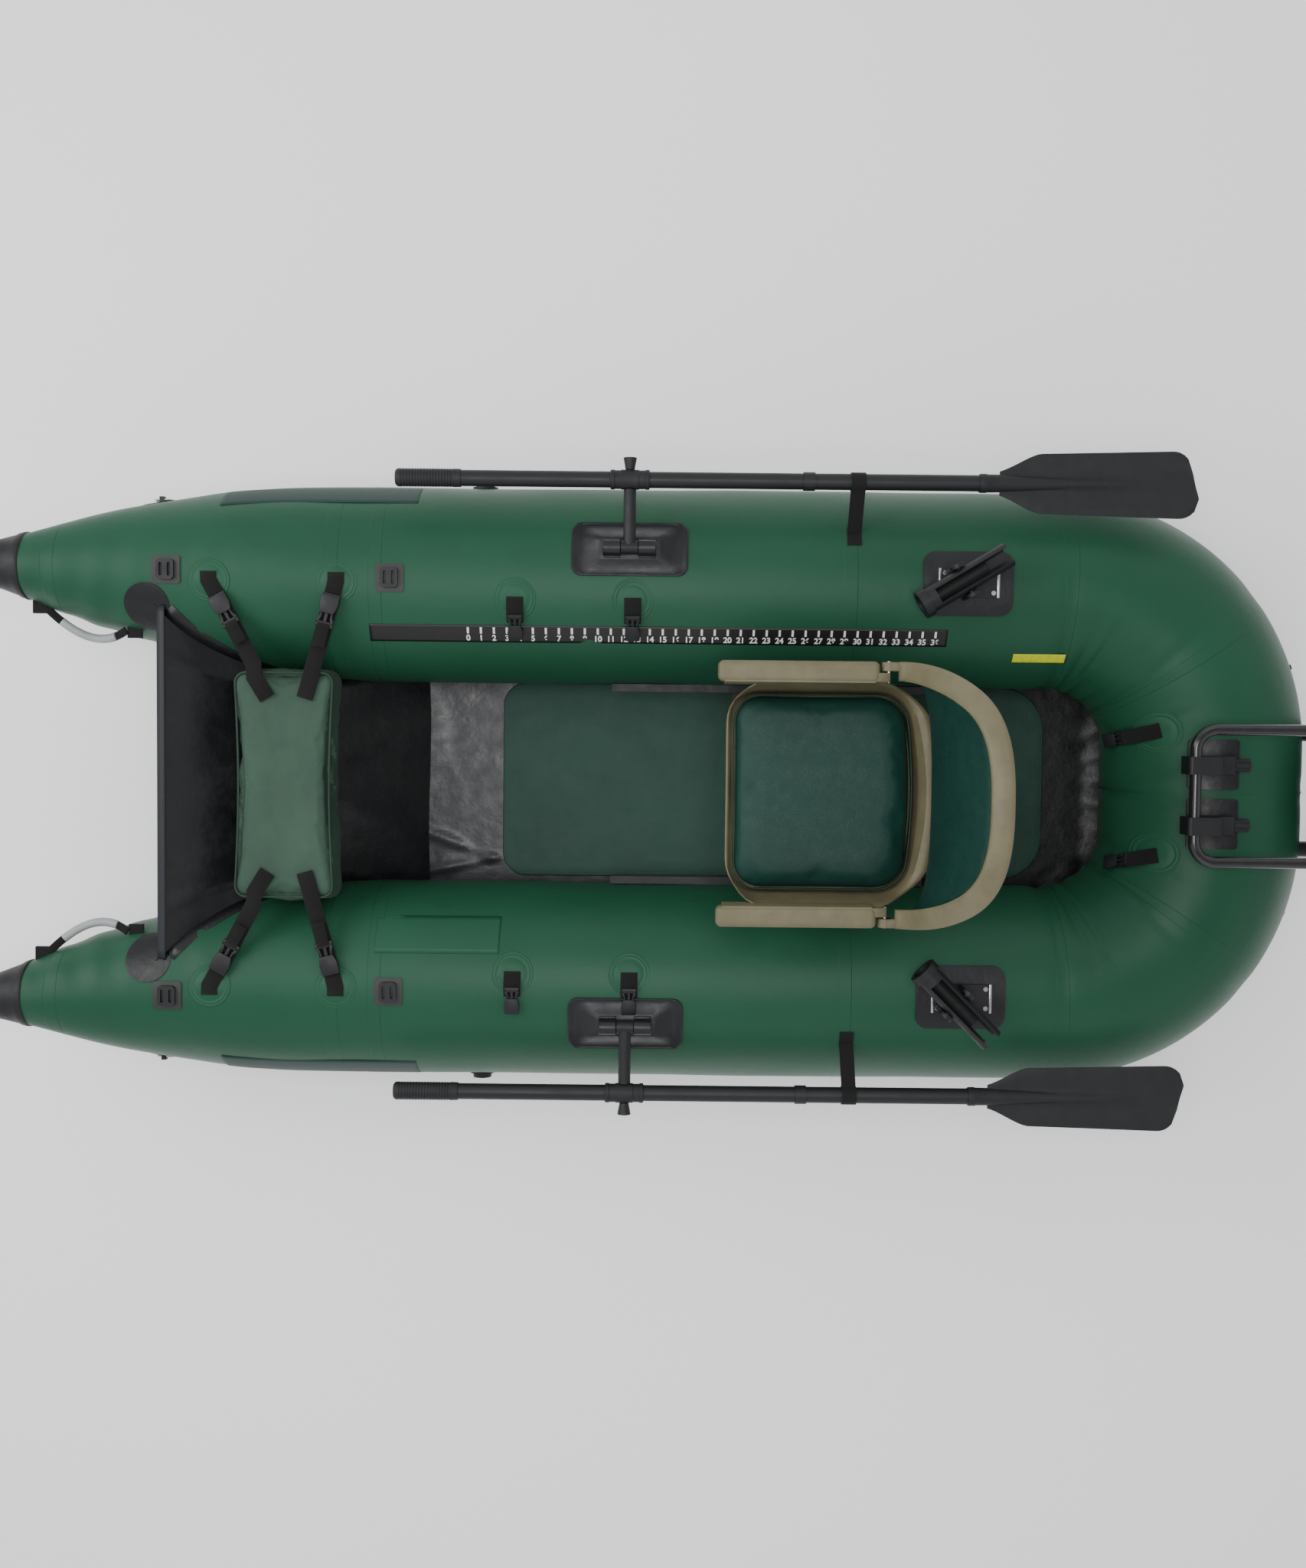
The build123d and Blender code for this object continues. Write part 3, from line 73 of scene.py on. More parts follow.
# ---- node helpers ----
class Shader:
    """A new material with its Principled shader and short calls for its nodes."""

    def __init__(self, name, roughness=0.5, **sockets):
        self.material = bpy.data.materials.new(name)
        self.material.use_nodes = True
        self.tree = self.material.node_tree
        self.main = self.tree.nodes["Principled BSDF"]
        self.main.inputs["Roughness"].default_value = roughness
        for key, value in sockets.items():
            self.main.inputs[key.replace("_", " ")].default_value = value
        self.where = self.node("ShaderNodeTexCoord")

    def node(self, kind, inputs=None, **settings):
        made = self.tree.nodes.new(kind)
        for key, value in settings.items():
            setattr(made, key, value)
        for key, value in (inputs or {}).items():
            if isinstance(value, bpy.types.NodeSocket):
                self.tree.links.new(value, made.inputs[key])
            else:
                made.inputs[key].default_value = value
        return made

    def link(self, source, socket):
        self.tree.links.new(source, self.main.inputs[socket])

    def noise(self, scale, detail=4.0):
        made = self.node("ShaderNodeTexNoise", {"Vector": self.where.outputs["Object"], "Scale": scale,
                                                "Detail": detail, "Roughness": 0.55})
        return made.outputs["Fac"]

    def math(self, operation, a, b=0.0, c=0.0):
        return self.node("ShaderNodeMath", {0: a, 1: b, 2: c}, operation=operation).outputs[0]

    def ramp(self, fac, stops):
        made = self.node("ShaderNodeValToRGB", {"Fac": fac})
        ramp = made.color_ramp
        while len(ramp.elements) < len(stops):
            ramp.elements.new(0.5)
        for element, (place, colour) in zip(ramp.elements, stops):
            element.position = place
            element.color = (*colour, 1.0)
        return made.outputs["Color"]

    def tint(self, colour, fac, dark, light):
        """Base colour between two shades of a colour, each a (place on the ramp, amount)."""
        self.link(self.ramp(fac, [(place, shade(colour, amount)) for place, amount in (dark, light)]), "Base Color")

    def relief(self, *layers):
        """Height in metres: the sum of layers of (pattern, height)."""
        scaled = [self.math("MULTIPLY", pattern, height) for pattern, height in layers]
        total = scaled[0]
        for layer in scaled[1:]:
            total = self.math("ADD", total, layer)
        return total

    def bump(self, height, strength=1.0):
        made = self.node("ShaderNodeBump", {"Height": height, "Distance": 1.0, "Strength": strength})
        self.link(made.outputs["Normal"], "Normal")

    def vary_roughness(self, fac, low, high):
        made = self.node("ShaderNodeMapRange", {"Value": fac, "From Min": 0.3, "From Max": 0.7,
                                                "To Min": low, "To Max": high})
        self.link(made.outputs["Result"], "Roughness")

    def split(self, coords):
        made = self.node("ShaderNodeSeparateXYZ", {"Vector": self.where.outputs[coords]})
        return made.outputs["X"], made.outputs["Y"], made.outputs["Z"]

    def crossed(self, u, v, pitch_u, pitch_v):
        """Two crossed waves."""
        wave_u = self.math("SINE", self.math("MULTIPLY", u, 2 * math.pi / pitch_u))
        wave_v = self.math("SINE", self.math("MULTIPLY", v, 2 * math.pi / pitch_v))
        return self.math("MULTIPLY", wave_u, wave_v)

    def weave(self, coords, pitch):
        """Pattern of a plain weave."""
        u, v, _ = self.split(coords)
        return self.crossed(u, v, pitch, pitch)


def shade(colour, amount):
    """A colour made lighter or darker."""
    return tuple(min(1.0, c * amount) for c in colour)


# ---- materials ----
YARN = 0.00135


def coated_fabric(name, colour, roughness, seams=()):
    """PVC-coated fabric: cloth that prints through, soft changes of sheen, and welded seams across u."""
    s = Shader(name, roughness, Specular_IOR_Level=0.25)
    broad = s.noise(3.1, 5.0)
    s.tint(colour, broad, (0.25, 0.9), (0.75, 1.1))
    s.vary_roughness(broad, roughness - 0.05, roughness + 0.07)
    height = s.relief((s.weave("UV", YARN), 0.00003), (s.noise(160.0, 3.0), 0.00008), (s.noise(26.0, 3.0), 0.0007))
    u = s.split("UV")[0]
    for place in seams:
        off = s.math("ABSOLUTE", s.math("SUBTRACT", u, place))
        step = s.node("ShaderNodeMapRange", {"Value": off, "From Min": 0.0118, "From Max": 0.0132,
                                             "To Min": 0.0009, "To Max": 0.0}, interpolation_type="SMOOTHSTEP")
        height = s.math("ADD", height, step.outputs["Result"])
    s.bump(height)
    return s.material


def black_fabric(name, colour=(0.0045, 0.005, 0.006), roughness=0.36):
    """Shiny black coated fabric with soft creases."""
    s = Shader(name, roughness, Specular_IOR_Level=0.45)
    s.tint(colour, s.noise(9.0, 5.0), (0.3, 0.75), (0.7, 1.5))
    s.vary_roughness(s.noise(30.0), roughness - 0.06, roughness + 0.1)
    s.bump(s.relief((s.noise(14.0, 4.0), 0.0025), (s.noise(420.0, 2.0), 0.00009)))
    return s.material


def moulded_plastic(name, colour, roughness=0.48):
    """Moulded plastic with a spark-eroded grain."""
    s = Shader(name, roughness, Specular_IOR_Level=0.4)
    s.tint(colour, s.noise(22.0, 6.0), (0.3, 0.88), (0.72, 1.16))
    s.vary_roughness(s.noise(45.0), roughness - 0.06, roughness + 0.08)
    s.bump(s.relief((s.noise(900.0, 2.0), 0.00022), (s.noise(60.0, 2.0), 0.0002)))
    return s.material


def metal(name, colour, roughness, metallic=1.0):
    """Steel or aluminium with fine drawn lines."""
    s = Shader(name, roughness, Metallic=metallic)
    s.tint(colour, s.noise(35.0, 4.0), (0.3, 0.9), (0.7, 1.08))
    s.vary_roughness(s.noise(18.0, 6.0), roughness - 0.05, roughness + 0.08)
    s.bump(s.relief((s.noise(1400.0, 2.0), 0.00002)))
    return s.material


def gloss_paint(name, colour):
    """Glossy powder-coated steel."""
    s = Shader(name, 0.22, Coat_Weight=0.4, Coat_Roughness=0.12)
    s.tint(colour, s.noise(28.0), (0.3, 0.8), (0.7, 1.3))
    s.vary_roughness(s.noise(70.0), 0.16, 0.3)
    s.bump(s.relief((s.noise(260.0, 2.0), 0.0001)))
    return s.material


def webbing(name, colour):
    """Nylon webbing: a ribbed weave along the strap."""
    s = Shader(name, 0.8, Specular_IOR_Level=0.25, Sheen_Weight=0.05, Sheen_Roughness=0.5)
    u, v, _ = s.split("UV")
    pitch = 0.0021
    weave = s.crossed(u, v, pitch, pitch * 1.4)
    fac = s.math("MULTIPLY_ADD", weave, 0.25, 0.5)
    s.tint(colour, fac, (0.2, 0.6), (0.8, 1.9))
    s.bump(s.relief((weave, 0.00035)))
    return s.material


def woven_nylon(name, colour):
    """Coated pack cloth: plain weave over soft creases."""
    s = Shader(name, 0.6, Specular_IOR_Level=0.3, Sheen_Weight=0.05, Sheen_Roughness=0.4)
    s.tint(colour, s.noise(7.0, 6.0), (0.25, 0.8), (0.75, 1.2))
    s.vary_roughness(s.noise(20.0), 0.5, 0.68)
    s.bump(s.relief((s.weave("Object", 0.0011), 0.0001), (s.noise(32.0, 5.0), 0.0035)))
    return s.material


def seat_vinyl(name, colour):
    """Upholstery vinyl with a leather print and a soft shine."""
    s = Shader(name, 0.46, Specular_IOR_Level=0.3)
    s.tint(colour, s.noise(5.0, 4.0), (0.25, 0.82), (0.75, 1.18))
    cells = s.node("ShaderNodeTexVoronoi", {"Vector": s.where.outputs["Object"], "Scale": 420.0},
                   feature="DISTANCE_TO_EDGE").outputs["Distance"]
    s.vary_roughness(s.noise(40.0), 0.40, 0.54)
    s.bump(s.relief((cells, 0.0005), (s.noise(18.0, 3.0), 0.0012)), 0.8)
    return s.material


def deck_foam(name, colour):
    """Non-skid deck panel with a raised diamond print."""
    s = Shader(name, 0.62)
    s.tint(colour, s.noise(6.0, 6.0), (0.25, 0.86), (0.75, 1.14))
    x, y, _ = s.split("Object")
    pitch = 0.0062
    diamond = s.crossed(s.math("ADD", x, y), s.math("SUBTRACT", x, y), pitch, pitch)
    s.bump(s.relief((diamond, 0.00028), (s.noise(13.0, 3.0), 0.002)))
    s.vary_roughness(s.noise(25.0), 0.55, 0.72)
    return s.material


def printed(name, colour, roughness=0.45):
    """Printed vinyl film with faint wear."""
    s = Shader(name, roughness)
    s.tint(colour, s.noise(120.0, 6.0), (0.28, 0.85), (0.6, 1.05))
    s.bump(s.relief((s.noise(300.0, 2.0), 0.00006)))
    return s.material


HULL_GREEN = (0.0140, 0.0800, 0.0410)
SEAMS = (0.235, CONE_LENGTH - 0.055, CONE_LENGTH + 0.03, CONE_LENGTH + 0.955, CONE_LENGTH + STRAIGHT,
         CONE_LENGTH + STRAIGHT + BEND * 0.6)
MATERIALS = (
    (coated_fabric, "hull_pvc", HULL_GREEN, 0.4, SEAMS),
    (coated_fabric, "patch_pvc", shade(HULL_GREEN, 1.06), 0.44),
    (black_fabric, "black_pvc"),
    (black_fabric, "pad_pvc", (0.0065, 0.0070, 0.0090), 0.42),
    (black_fabric, "floor_vinyl", (0.026, 0.027, 0.031), 0.34),
    (deck_foam, "deck_foam", (0.022, 0.072, 0.052)),
    (woven_nylon, "bag_nylon", (0.024, 0.052, 0.035)),
    # lighter copy of the bag nylon for the bag's upward faces: painted light from above
    (woven_nylon, "bag_top", (0.040, 0.086, 0.058)),
    (webbing, "webbing", (0.007, 0.007, 0.0075)),
    (moulded_plastic, "black_plastic", (0.010, 0.0105, 0.012)),
    (moulded_plastic, "oar_plastic", (0.013, 0.0138, 0.016), 0.6),
    (moulded_plastic, "grey_plastic", (0.032, 0.034, 0.033), 0.5),
    (moulded_plastic, "grey_sleeve", (0.34, 0.36, 0.37), 0.5),
    (moulded_plastic, "tan_plastic", (0.150, 0.133, 0.074), 0.45),
    (seat_vinyl, "seat_vinyl", (0.0050, 0.038, 0.028)),
    (metal, "steel", (0.62, 0.62, 0.61), 0.28),
    (gloss_paint, "black_steel", (0.012, 0.012, 0.014)),
    (metal, "black_aluminium", (0.010, 0.0108, 0.0125), 0.5, 0.1),
    (printed, "printed_vinyl", (0.008, 0.008, 0.0085)),
    (printed, "ink_white", (0.82, 0.82, 0.8)),
    (printed, "teal_film", (0.006, 0.034, 0.026), 0.6),
    (printed, "yellow_film", (0.62, 0.66, 0.015)),
    # grey hem: painted highlight where the black apron's edge curves over into the light
    (coated_fabric, "hem_grey", (0.022, 0.025, 0.029), 0.38),
)
M = {name: make(name, *values) for make, name, *values in MATERIALS}


def paint_cad_nodes():
    """Gives every CAD node the material of its slot."""
    slots = {part["node"]: part["material_slot"] for part in frame["record"]["subparts"]}
    special = {"rod_pads": "pad_pvc", "motor_pads": "pad_pvc", "strap_patches": "patch_pvc"}
    special.update({f"{side}_oar_{part}": "oar_plastic" for side in SIDES for part in ("grip", "sleeve", "blade")})
    for node, obj in frame["nodes"].items():
        material = M[special.get(node, slots[node])]
        for slot in obj.material_slots:
            slot.material = material
        if not obj.material_slots:
            obj.data.materials.append(material)


# ---- mesh helpers ----
def add_object(name, data):
    obj = bpy.data.objects.new(name, data)
    bpy.context.scene.collection.objects.link(obj)
    return obj


def mirrored(point, side):
    """The starboard point itself, or its twin to port."""
    return Vector((point.x, point.y * side, point.z))


def circle(radius, count):
    turns = [2 * math.pi * j / count for j in range(count)]
    return [(radius * math.cos(a), radius * math.sin(a)) for a in turns]


def new_piece(name, verts, faces, material, body, uvs=None, smooth=True, replaces=()):
    """A mesh object that rides on a body. uvs is one (u, v) for each vertex."""
    mesh = bpy.data.meshes.new(name)
    mesh.from_pydata([tuple(v) for v in verts], [], faces)
    if uvs is not None:
        layer = mesh.uv_layers.new(name="UVMap")
        for loop in mesh.loops:
            layer.data[loop.index].uv = uvs[loop.vertex_index]
    mesh.validate()
    for polygon in mesh.polygons:
        polygon.use_smooth = smooth
    obj = add_object(name, mesh)
    mesh.materials.append(M[material])
    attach(obj, body)
    if replaces:
        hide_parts(*replaces)
    return obj


def face_out(obj):
    """Makes the normals point outwards."""
    work = bmesh.new()
    work.from_mesh(obj.data)
    bmesh.ops.recalc_face_normals(work, faces=work.faces)
    work.to_mesh(obj.data)
    work.free()
    return obj


def grid_faces(rows, columns, closed=False):
    """Quads of a grid of vertices, row by row."""
    faces = []
    span = columns if closed else columns - 1
    for i in range(rows - 1):
        for j in range(span):
            k = (j + 1) % columns
            faces.append((i * columns + j, i * columns + k, (i + 1) * columns + k, (i + 1) * columns + j))
    return faces


def cap(row, count):
    """Face that closes one ring of a stack."""
    return tuple(row * count + j for j in range(count))


def set_all(target, **settings):
    for key, value in settings.items():
        setattr(target, key, value)


def smoothstep(low, high, x):
    t = min(1.0, max(0.0, (x - low) / (high - low)))
    return t * t * (3 - 2 * t)


# ---- the pontoon's form ----
def taper(t):
    """Share of the tube's radius at a share of the cone's length."""
    if t <= 0:
        return 1.0
    for (t0, k0), (t1, k1) in zip(CONE_TAPER, CONE_TAPER[1:]):
        if t <= t1:
            return k0 + (k1 - k0) * (t - t0) / (t1 - t0)
    return CONE_TAPER[-1][1]


def soft_taper(t):
    """The taper with its kinks rounded."""
    reach = min(0.045, (1 - t) * 0.8)
    return sum(taper(t + reach * k / 3) for k in range(-3, 4)) / 7


def station(s):
    """Centre, outboard direction and radius at a distance s from the bow tip, on the starboard side."""
    if s < CONE_LENGTH:
        t = 1 - s / CONE_LENGTH
        radius = RADIUS * soft_taper(t)
        return Vector((TIP_X + s, PONTOON_Y + CONE_SPLAY * t, CREST - radius)), Vector((0, 1, 0)), radius
    s -= CONE_LENGTH
    if s < STRAIGHT:
        return Vector((TAPER_X + s, PONTOON_Y, RADIUS)), Vector((0, 1, 0)), RADIUS
    s -= STRAIGHT
    if s < BEND:
        turn = math.pi / 2 - s / CORNER_RADIUS
        out = Vector((math.cos(turn), math.sin(turn), 0))
        return Vector((CORNER_X, CORNER_Y, RADIUS)) + out * CORNER_RADIUS, out, RADIUS
    return Vector((STERN_X, CORNER_Y - (s - BEND), RADIUS)), Vector((1, 0, 0)), RADIUS


def tube_point(s, angle, lift=0.0):
    """Point on the starboard skin. The angle is 0 outboard, a quarter turn at the crest."""
    centre, out, radius = station(s)
    return centre + (out * math.cos(angle) + Vector((0, 0, 1)) * math.sin(angle)) * (radius + lift)


def path_place(x, y):
    """Distance along the path and outboard offset of a plan point on the starboard side."""
    if x <= CORNER_X:
        return x - TIP_X, y - station(x - TIP_X)[0].y
    if y <= CORNER_Y:
        return CONE_LENGTH + STRAIGHT + BEND + CORNER_Y - y, x - STERN_X
    turn = math.atan2(y - CORNER_Y, x - CORNER_X)
    s = CONE_LENGTH + STRAIGHT + (math.pi / 2 - turn) * CORNER_RADIUS
    return s, math.hypot(x - CORNER_X, y - CORNER_Y) - CORNER_RADIUS


def on_skin(x, y, height=0.0, side=1.0):
    """Point above the upper skin, found from its plan point; y is positive on either side."""
    s, offset = path_place(x, y)
    _, _, radius = station(s)
    angle = math.acos(max(-1.0, min(1.0, offset / radius)))
    return mirrored(tube_point(s, angle, height), side)


# ---- hull ----
SKIN_START = 0.012
# distance along the bend, lean and depth of each deep crease at the inner corners
CREASES = ((0.028, 0.05, 0.0038), (0.062, 0.06, 0.0046), (0.335, -0.03, 0.003), (0.44, -0.04, 0.0034))


def fold_depth(s, angle):
    """How far the skin is drawn in or out by the gores, puckers and welds of the corner."""
    bend_s = s - CONE_LENGTH - STRAIGHT
    inside = max(0.0, -math.cos(angle)) ** 1.5
    into_bend = smoothstep(-0.10, 0.06, bend_s) * smoothstep(BEND + 0.12, BEND - 0.06, bend_s)
    patchy = 0.5 + 0.9 * noise.noise(Vector((bend_s * 3.1, 0.3, 5)))
    ripple = math.sin(bend_s * 61 + 3.4 * math.sin(bend_s * 9)) + 0.8 * noise.noise(Vector((bend_s * 30, angle, 1)))
    depth = 0.0026 * into_bend * max(patchy, 0.12) * inside ** 1.4 * ripple
    for crease, lean, deep in CREASES:
        away = (bend_s - crease - lean * math.sin(angle)) / 0.011
        depth -= deep * math.exp(-away * away) * smoothstep(0.15, 0.75, -math.cos(angle)) * max(math.sin(angle), 0)
    for seam in (0.0, BEND * 0.6, BEND + CORNER_Y):
        away = (bend_s - seam + 0.035 * math.sin(angle) * (1 if seam else 0)) / 0.016
        depth -= 0.0042 * math.exp(-away * away) * (0.35 + inside)
    depth += 0.0022 * (noise.noise(Vector((s * 5, math.cos(angle) * 1.5, math.sin(angle) * 1.5))))
    nose = smoothstep(0.75, 0.25, s)
    depth += nose * 0.0016 * math.sin(s * 90 + angle * 2) * max(0.0, math.cos(angle - 2.6))
    return depth


def hull_tube(side_name):
    """One air chamber as a smooth skin with its puckers."""
    side = SIDES[side_name]
    around, count = 112, 330
    verts, uvs = [], []
    for i in range(count):
        s = SKIN_START + (PATH_LENGTH - SKIN_START) * i / (count - 1)
        limit = min(1.0, station(s)[2] / 0.08)
        for j in range(around):
            angle = 2 * math.pi * j / around
            point = tube_point(s, angle, fold_depth(s, angle) * limit)
            verts.append((point.x, point.y * side, max(point.z, 0.0)))
            uvs.append((s, angle * RADIUS))
    faces = grid_faces(count, around, closed=True)
    faces.append(cap(0, around))
    piece = new_piece(f"{side_name}_tube", verts, faces, "hull_pvc", "hull", uvs=uvs,
                      replaces=[f"{side_name}_chamber"])
    return face_out(piece)


def nose_cap(side_name):
    """Moulded bow cap with a beaded edge and a blunt tip."""
    side = SIDES[side_name]
    around = 48
    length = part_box("nose_caps")[1][0] - TIP_X + 0.014
    profile = [(length, -0.001), (length, 0.0026), (length - 0.004, 0.0038), (length - 0.012, 0.0038),
               (length - 0.016, 0.0022)]
    profile += [(length - 0.016 - (length - 0.026) * k / 12, 0.0022) for k in range(1, 13)]
    verts = []
    for s, lift in profile:
        for j in range(around):
            verts.append(mirrored(tube_point(max(s, SKIN_START), 2 * math.pi * j / around, lift), side))
    centre, _, radius = station(SKIN_START)
    for k in range(1, 5):
        turn = k / 4 * math.pi / 2
        for y, z in circle((radius + 0.0022) * math.cos(turn) + 0.0004, around):
            verts.append((TIP_X + 0.010 - 0.010 * math.sin(turn), (centre.y + y) * side, centre.z + z))
    rows = len(profile) + 4
    faces = grid_faces(rows, around, closed=True)
    faces.append(cap(rows - 1, around))
    piece = new_piece(f"{side_name}_nose_cap", verts, faces, "black_plastic", "hull",
                      replaces=["nose_caps"])
    return face_out(piece)


def rounded_outline(half_u, half_v, corner, per_corner=8, per_side=6):
    """Ring of points of a rounded rectangle."""
    ring = []
    for k in range(4):
        turn = k * math.pi / 2
        su, sv = ((1, 1), (-1, 1), (-1, -1), (1, -1))[k]
        cu, cv = su * (half_u - corner), sv * (half_v - corner)
        for j in range(per_corner + 1):
            angle = turn + math.pi / 2 * j / per_corner
            ring.append((cu + corner * math.cos(angle), cv + corner * math.sin(angle)))
        nu, nv = ((-1, 1), (-1, -1), (1, -1), (1, 1))[k]
        end = (nu * (half_u - corner) if k % 2 == 0 else nu * half_u,
               nv * half_v if k % 2 == 0 else nv * (half_v - corner))
        start = ring[-1]
        for j in range(1, per_side):
            t = j / per_side
            ring.append((start[0] + (end[0] - start[0]) * t, start[1] + (end[1] - start[1]) * t))
    return ring


def weld_patches():
    """Round welded patches with pressed rings, under the strap ends."""
    profile = [(1.0, -0.001), (1.0, 0.0007), (0.985, 0.0012), (0.95, 0.0012), (0.93, 0.0005), (0.88, 0.0005),
               (0.86, 0.0013), (0.8, 0.0013), (0.78, 0.0006), (0.7, 0.0006), (0.66, 0.0015), (0.4, 0.0017),
               (0.15, 0.0017)]
    ring = circle(0.041, 48)
    faces = grid_faces(len(profile), len(ring), closed=True) + [cap(len(profile) - 1, len(ring))]
    spots = [(x, MID_PATCH_Y) for x in MID_STRAPS_X] + [(x, BAG_PATCH_Y) for x, _ in BAG_STRAPS_X] + [(0.9975, 0.12)]
    for side_name, side in SIDES.items():
        for index, (x, y) in enumerate(spots):
            verts, uvs = [], []
            for scale, height in profile:
                for u, v in ring:
                    verts.append(on_skin(x + u * scale, y + v * scale, height, side))
                    uvs.append((u * scale, v * scale))
            face_out(new_piece(f"{side_name}_weld_patch_{index}", verts, faces, "patch_pvc", "hull",
                               uvs=uvs, replaces=["strap_patches"]))


# ---- small solids ----
class Kit:
    """Collects rings of vertices into one mesh."""

    def __init__(self, matrix=None):
        self.verts, self.faces, self.uvs = [], [], []
        self.matrix = matrix or Matrix()

    def stack(self, rings):
        """Closed solid through rings of as many points each."""
        start, count, last = len(self.verts), len(rings[0]), len(rings) - 1
        for ring in rings:
            for point in ring:
                self.verts.append(self.matrix @ Vector(point))
                self.uvs.append((point[0], point[1]))
        for face in grid_faces(last + 1, count, closed=True) + [cap(0, count), cap(last, count)]:
            self.faces.append(tuple(start + k for k in face))
        return self

    def block(self, x0, x1, half, low, high, bevel=0.0012):
        """Upright plate of a rectangle, centred across."""
        return self.plate([(x0, -half), (x1, -half), (x1, half), (x0, half)], low, high, bevel)

    def plate(self, ring, low, high, bevel=0.0012):
        """Upright plate of an outline, its edges rounded."""
        rings = []
        for inset, z in ((bevel, low), (0.3 * bevel, low + 0.3 * bevel), (0, low + bevel), (0, high - bevel),
                         (0.3 * bevel, high - 0.3 * bevel), (bevel, high)):
            rings.append([(x, y, z) for x, y in inset_ring(ring, inset)])
        return self.stack(rings)

    def lathe(self, profile, axis=(1, 0, 0)):
        turn = Vector((0, 0, 1)).rotation_difference(Vector(axis)).to_matrix()
        rings = []
        for along, radius in profile:
            rings.append([tuple(turn @ Vector((x, y, along))) for x, y in circle(radius, 40)])
        return self.stack(rings)

    def piece(self, name, material, body, slot=None, replaces=(), angle=0.6):
        obj = new_piece(name, self.verts, self.faces, material, body, self.uvs, True, replaces)
        face_out(obj)
        obj.data.set_sharp_from_angle(angle=angle)
        return obj


def inset_ring(ring, distance):
    """Outline moved inwards; the ring runs anticlockwise."""
    if not distance:
        return list(ring)
    count, moved = len(ring), []
    for k, (x, y) in enumerate(ring):
        ax, ay = ring[k - 1]
        bx, by = ring[(k + 1) % count]
        tx, ty = bx - ax, by - ay
        size = math.hypot(tx, ty) or 1.0
        moved.append((x - ty / size * distance, y + tx / size * distance))
    return moved


def frame_at(origin, along, up):
    """Matrix with X along a direction and Z near the given up."""
    x = Vector(along).normalized()
    y = Vector(up).cross(x).normalized()
    z = x.cross(y)
    turn = Matrix((x, y, z)).transposed().to_4x4()
    turn.translation = Vector(origin)
    return turn


def ribbon(name, points, ups, width, thickness, material, body, replaces=()):
    """Flat strap through points, with its face turned to the ups."""
    verts, uvs = [], []
    length = 0.0
    edge = thickness * 0.35
    for k, point in enumerate(points):
        before, after = points[max(k - 1, 0)], points[min(k + 1, len(points) - 1)]
        length += (point - points[k - 1]).length if k else 0.0
        along = (after - before).normalized()
        up = ups[k] if isinstance(ups, list) else ups
        across = along.cross(up).normalized() * width / 2
        lift = across.cross(along).normalized() * thickness
        share = edge / width * 2
        for a, b in ((-1, 0.3), (-1 + share, 0), (1 - share, 0), (1, 0.3), (1, 0.7), (1 - share, 1), (-1 + share, 1),
                     (-1, 0.7)):
            verts.append(point + across * a + lift * b)
            uvs.append((length, a * width / 2))
    faces = grid_faces(len(points), 8, closed=True)
    faces += [tuple(range(8)), tuple(range(len(verts) - 8, len(verts)))]
    return face_out(new_piece(name, verts, faces, material, body, uvs, True, replaces))


def buckle(name, origin, along, up, body, scale=1.0, replaces=()):
    """Side-release buckle: a hooded body, two sprung arms, a guide and a bar at each end."""
    kit = Kit(frame_at(origin, along, up) @ Matrix.Scale(scale, 4))
    hood = [(-0.030, -0.0165), (-0.012, -0.0175), (-0.002, -0.0150), (0.004, -0.0120), (0.004, 0.0120),
            (-0.002, 0.0150), (-0.012, 0.0175), (-0.030, 0.0165)]
    kit.plate(hood, 0.001, 0.0105, 0.002)
    for sign in (-1, 1):
        arm = [(-0.006, 0.0105), (0.010, 0.0120), (0.019, 0.0165), (0.024, 0.0165), (0.024, 0.0120), (0.014, 0.0085),
               (-0.006, 0.0075)]
        ring = [(x, y * sign) for x, y in arm]
        kit.plate(ring if sign < 0 else ring[::-1], 0.003, 0.0085, 0.001)
    kit.block(-0.004, 0.020, 0.003, 0.004, 0.0075, 0.0008)
    kit.block(0.019, 0.030, 0.0165, 0.002, 0.0085, 0.0015)
    kit.block(-0.033, -0.028, 0.016, 0.003, 0.008)
    kit.piece(name, "black_plastic", body, replaces=replaces)


# ---- straps ----
BAG_STRAPS_X = ((-0.865, -0.772), (-0.618, -0.662))
BAG_PATCH_Y = 0.396
MID_STRAPS_X = (-0.272, -0.043)
MID_PATCH_Y = 0.366


def skin_normal(x, y, side):
    """Outward direction of the skin above a plan point."""
    return (on_skin(x, y, 0.01, side) - on_skin(x, y, 0.0, side)).normalized()


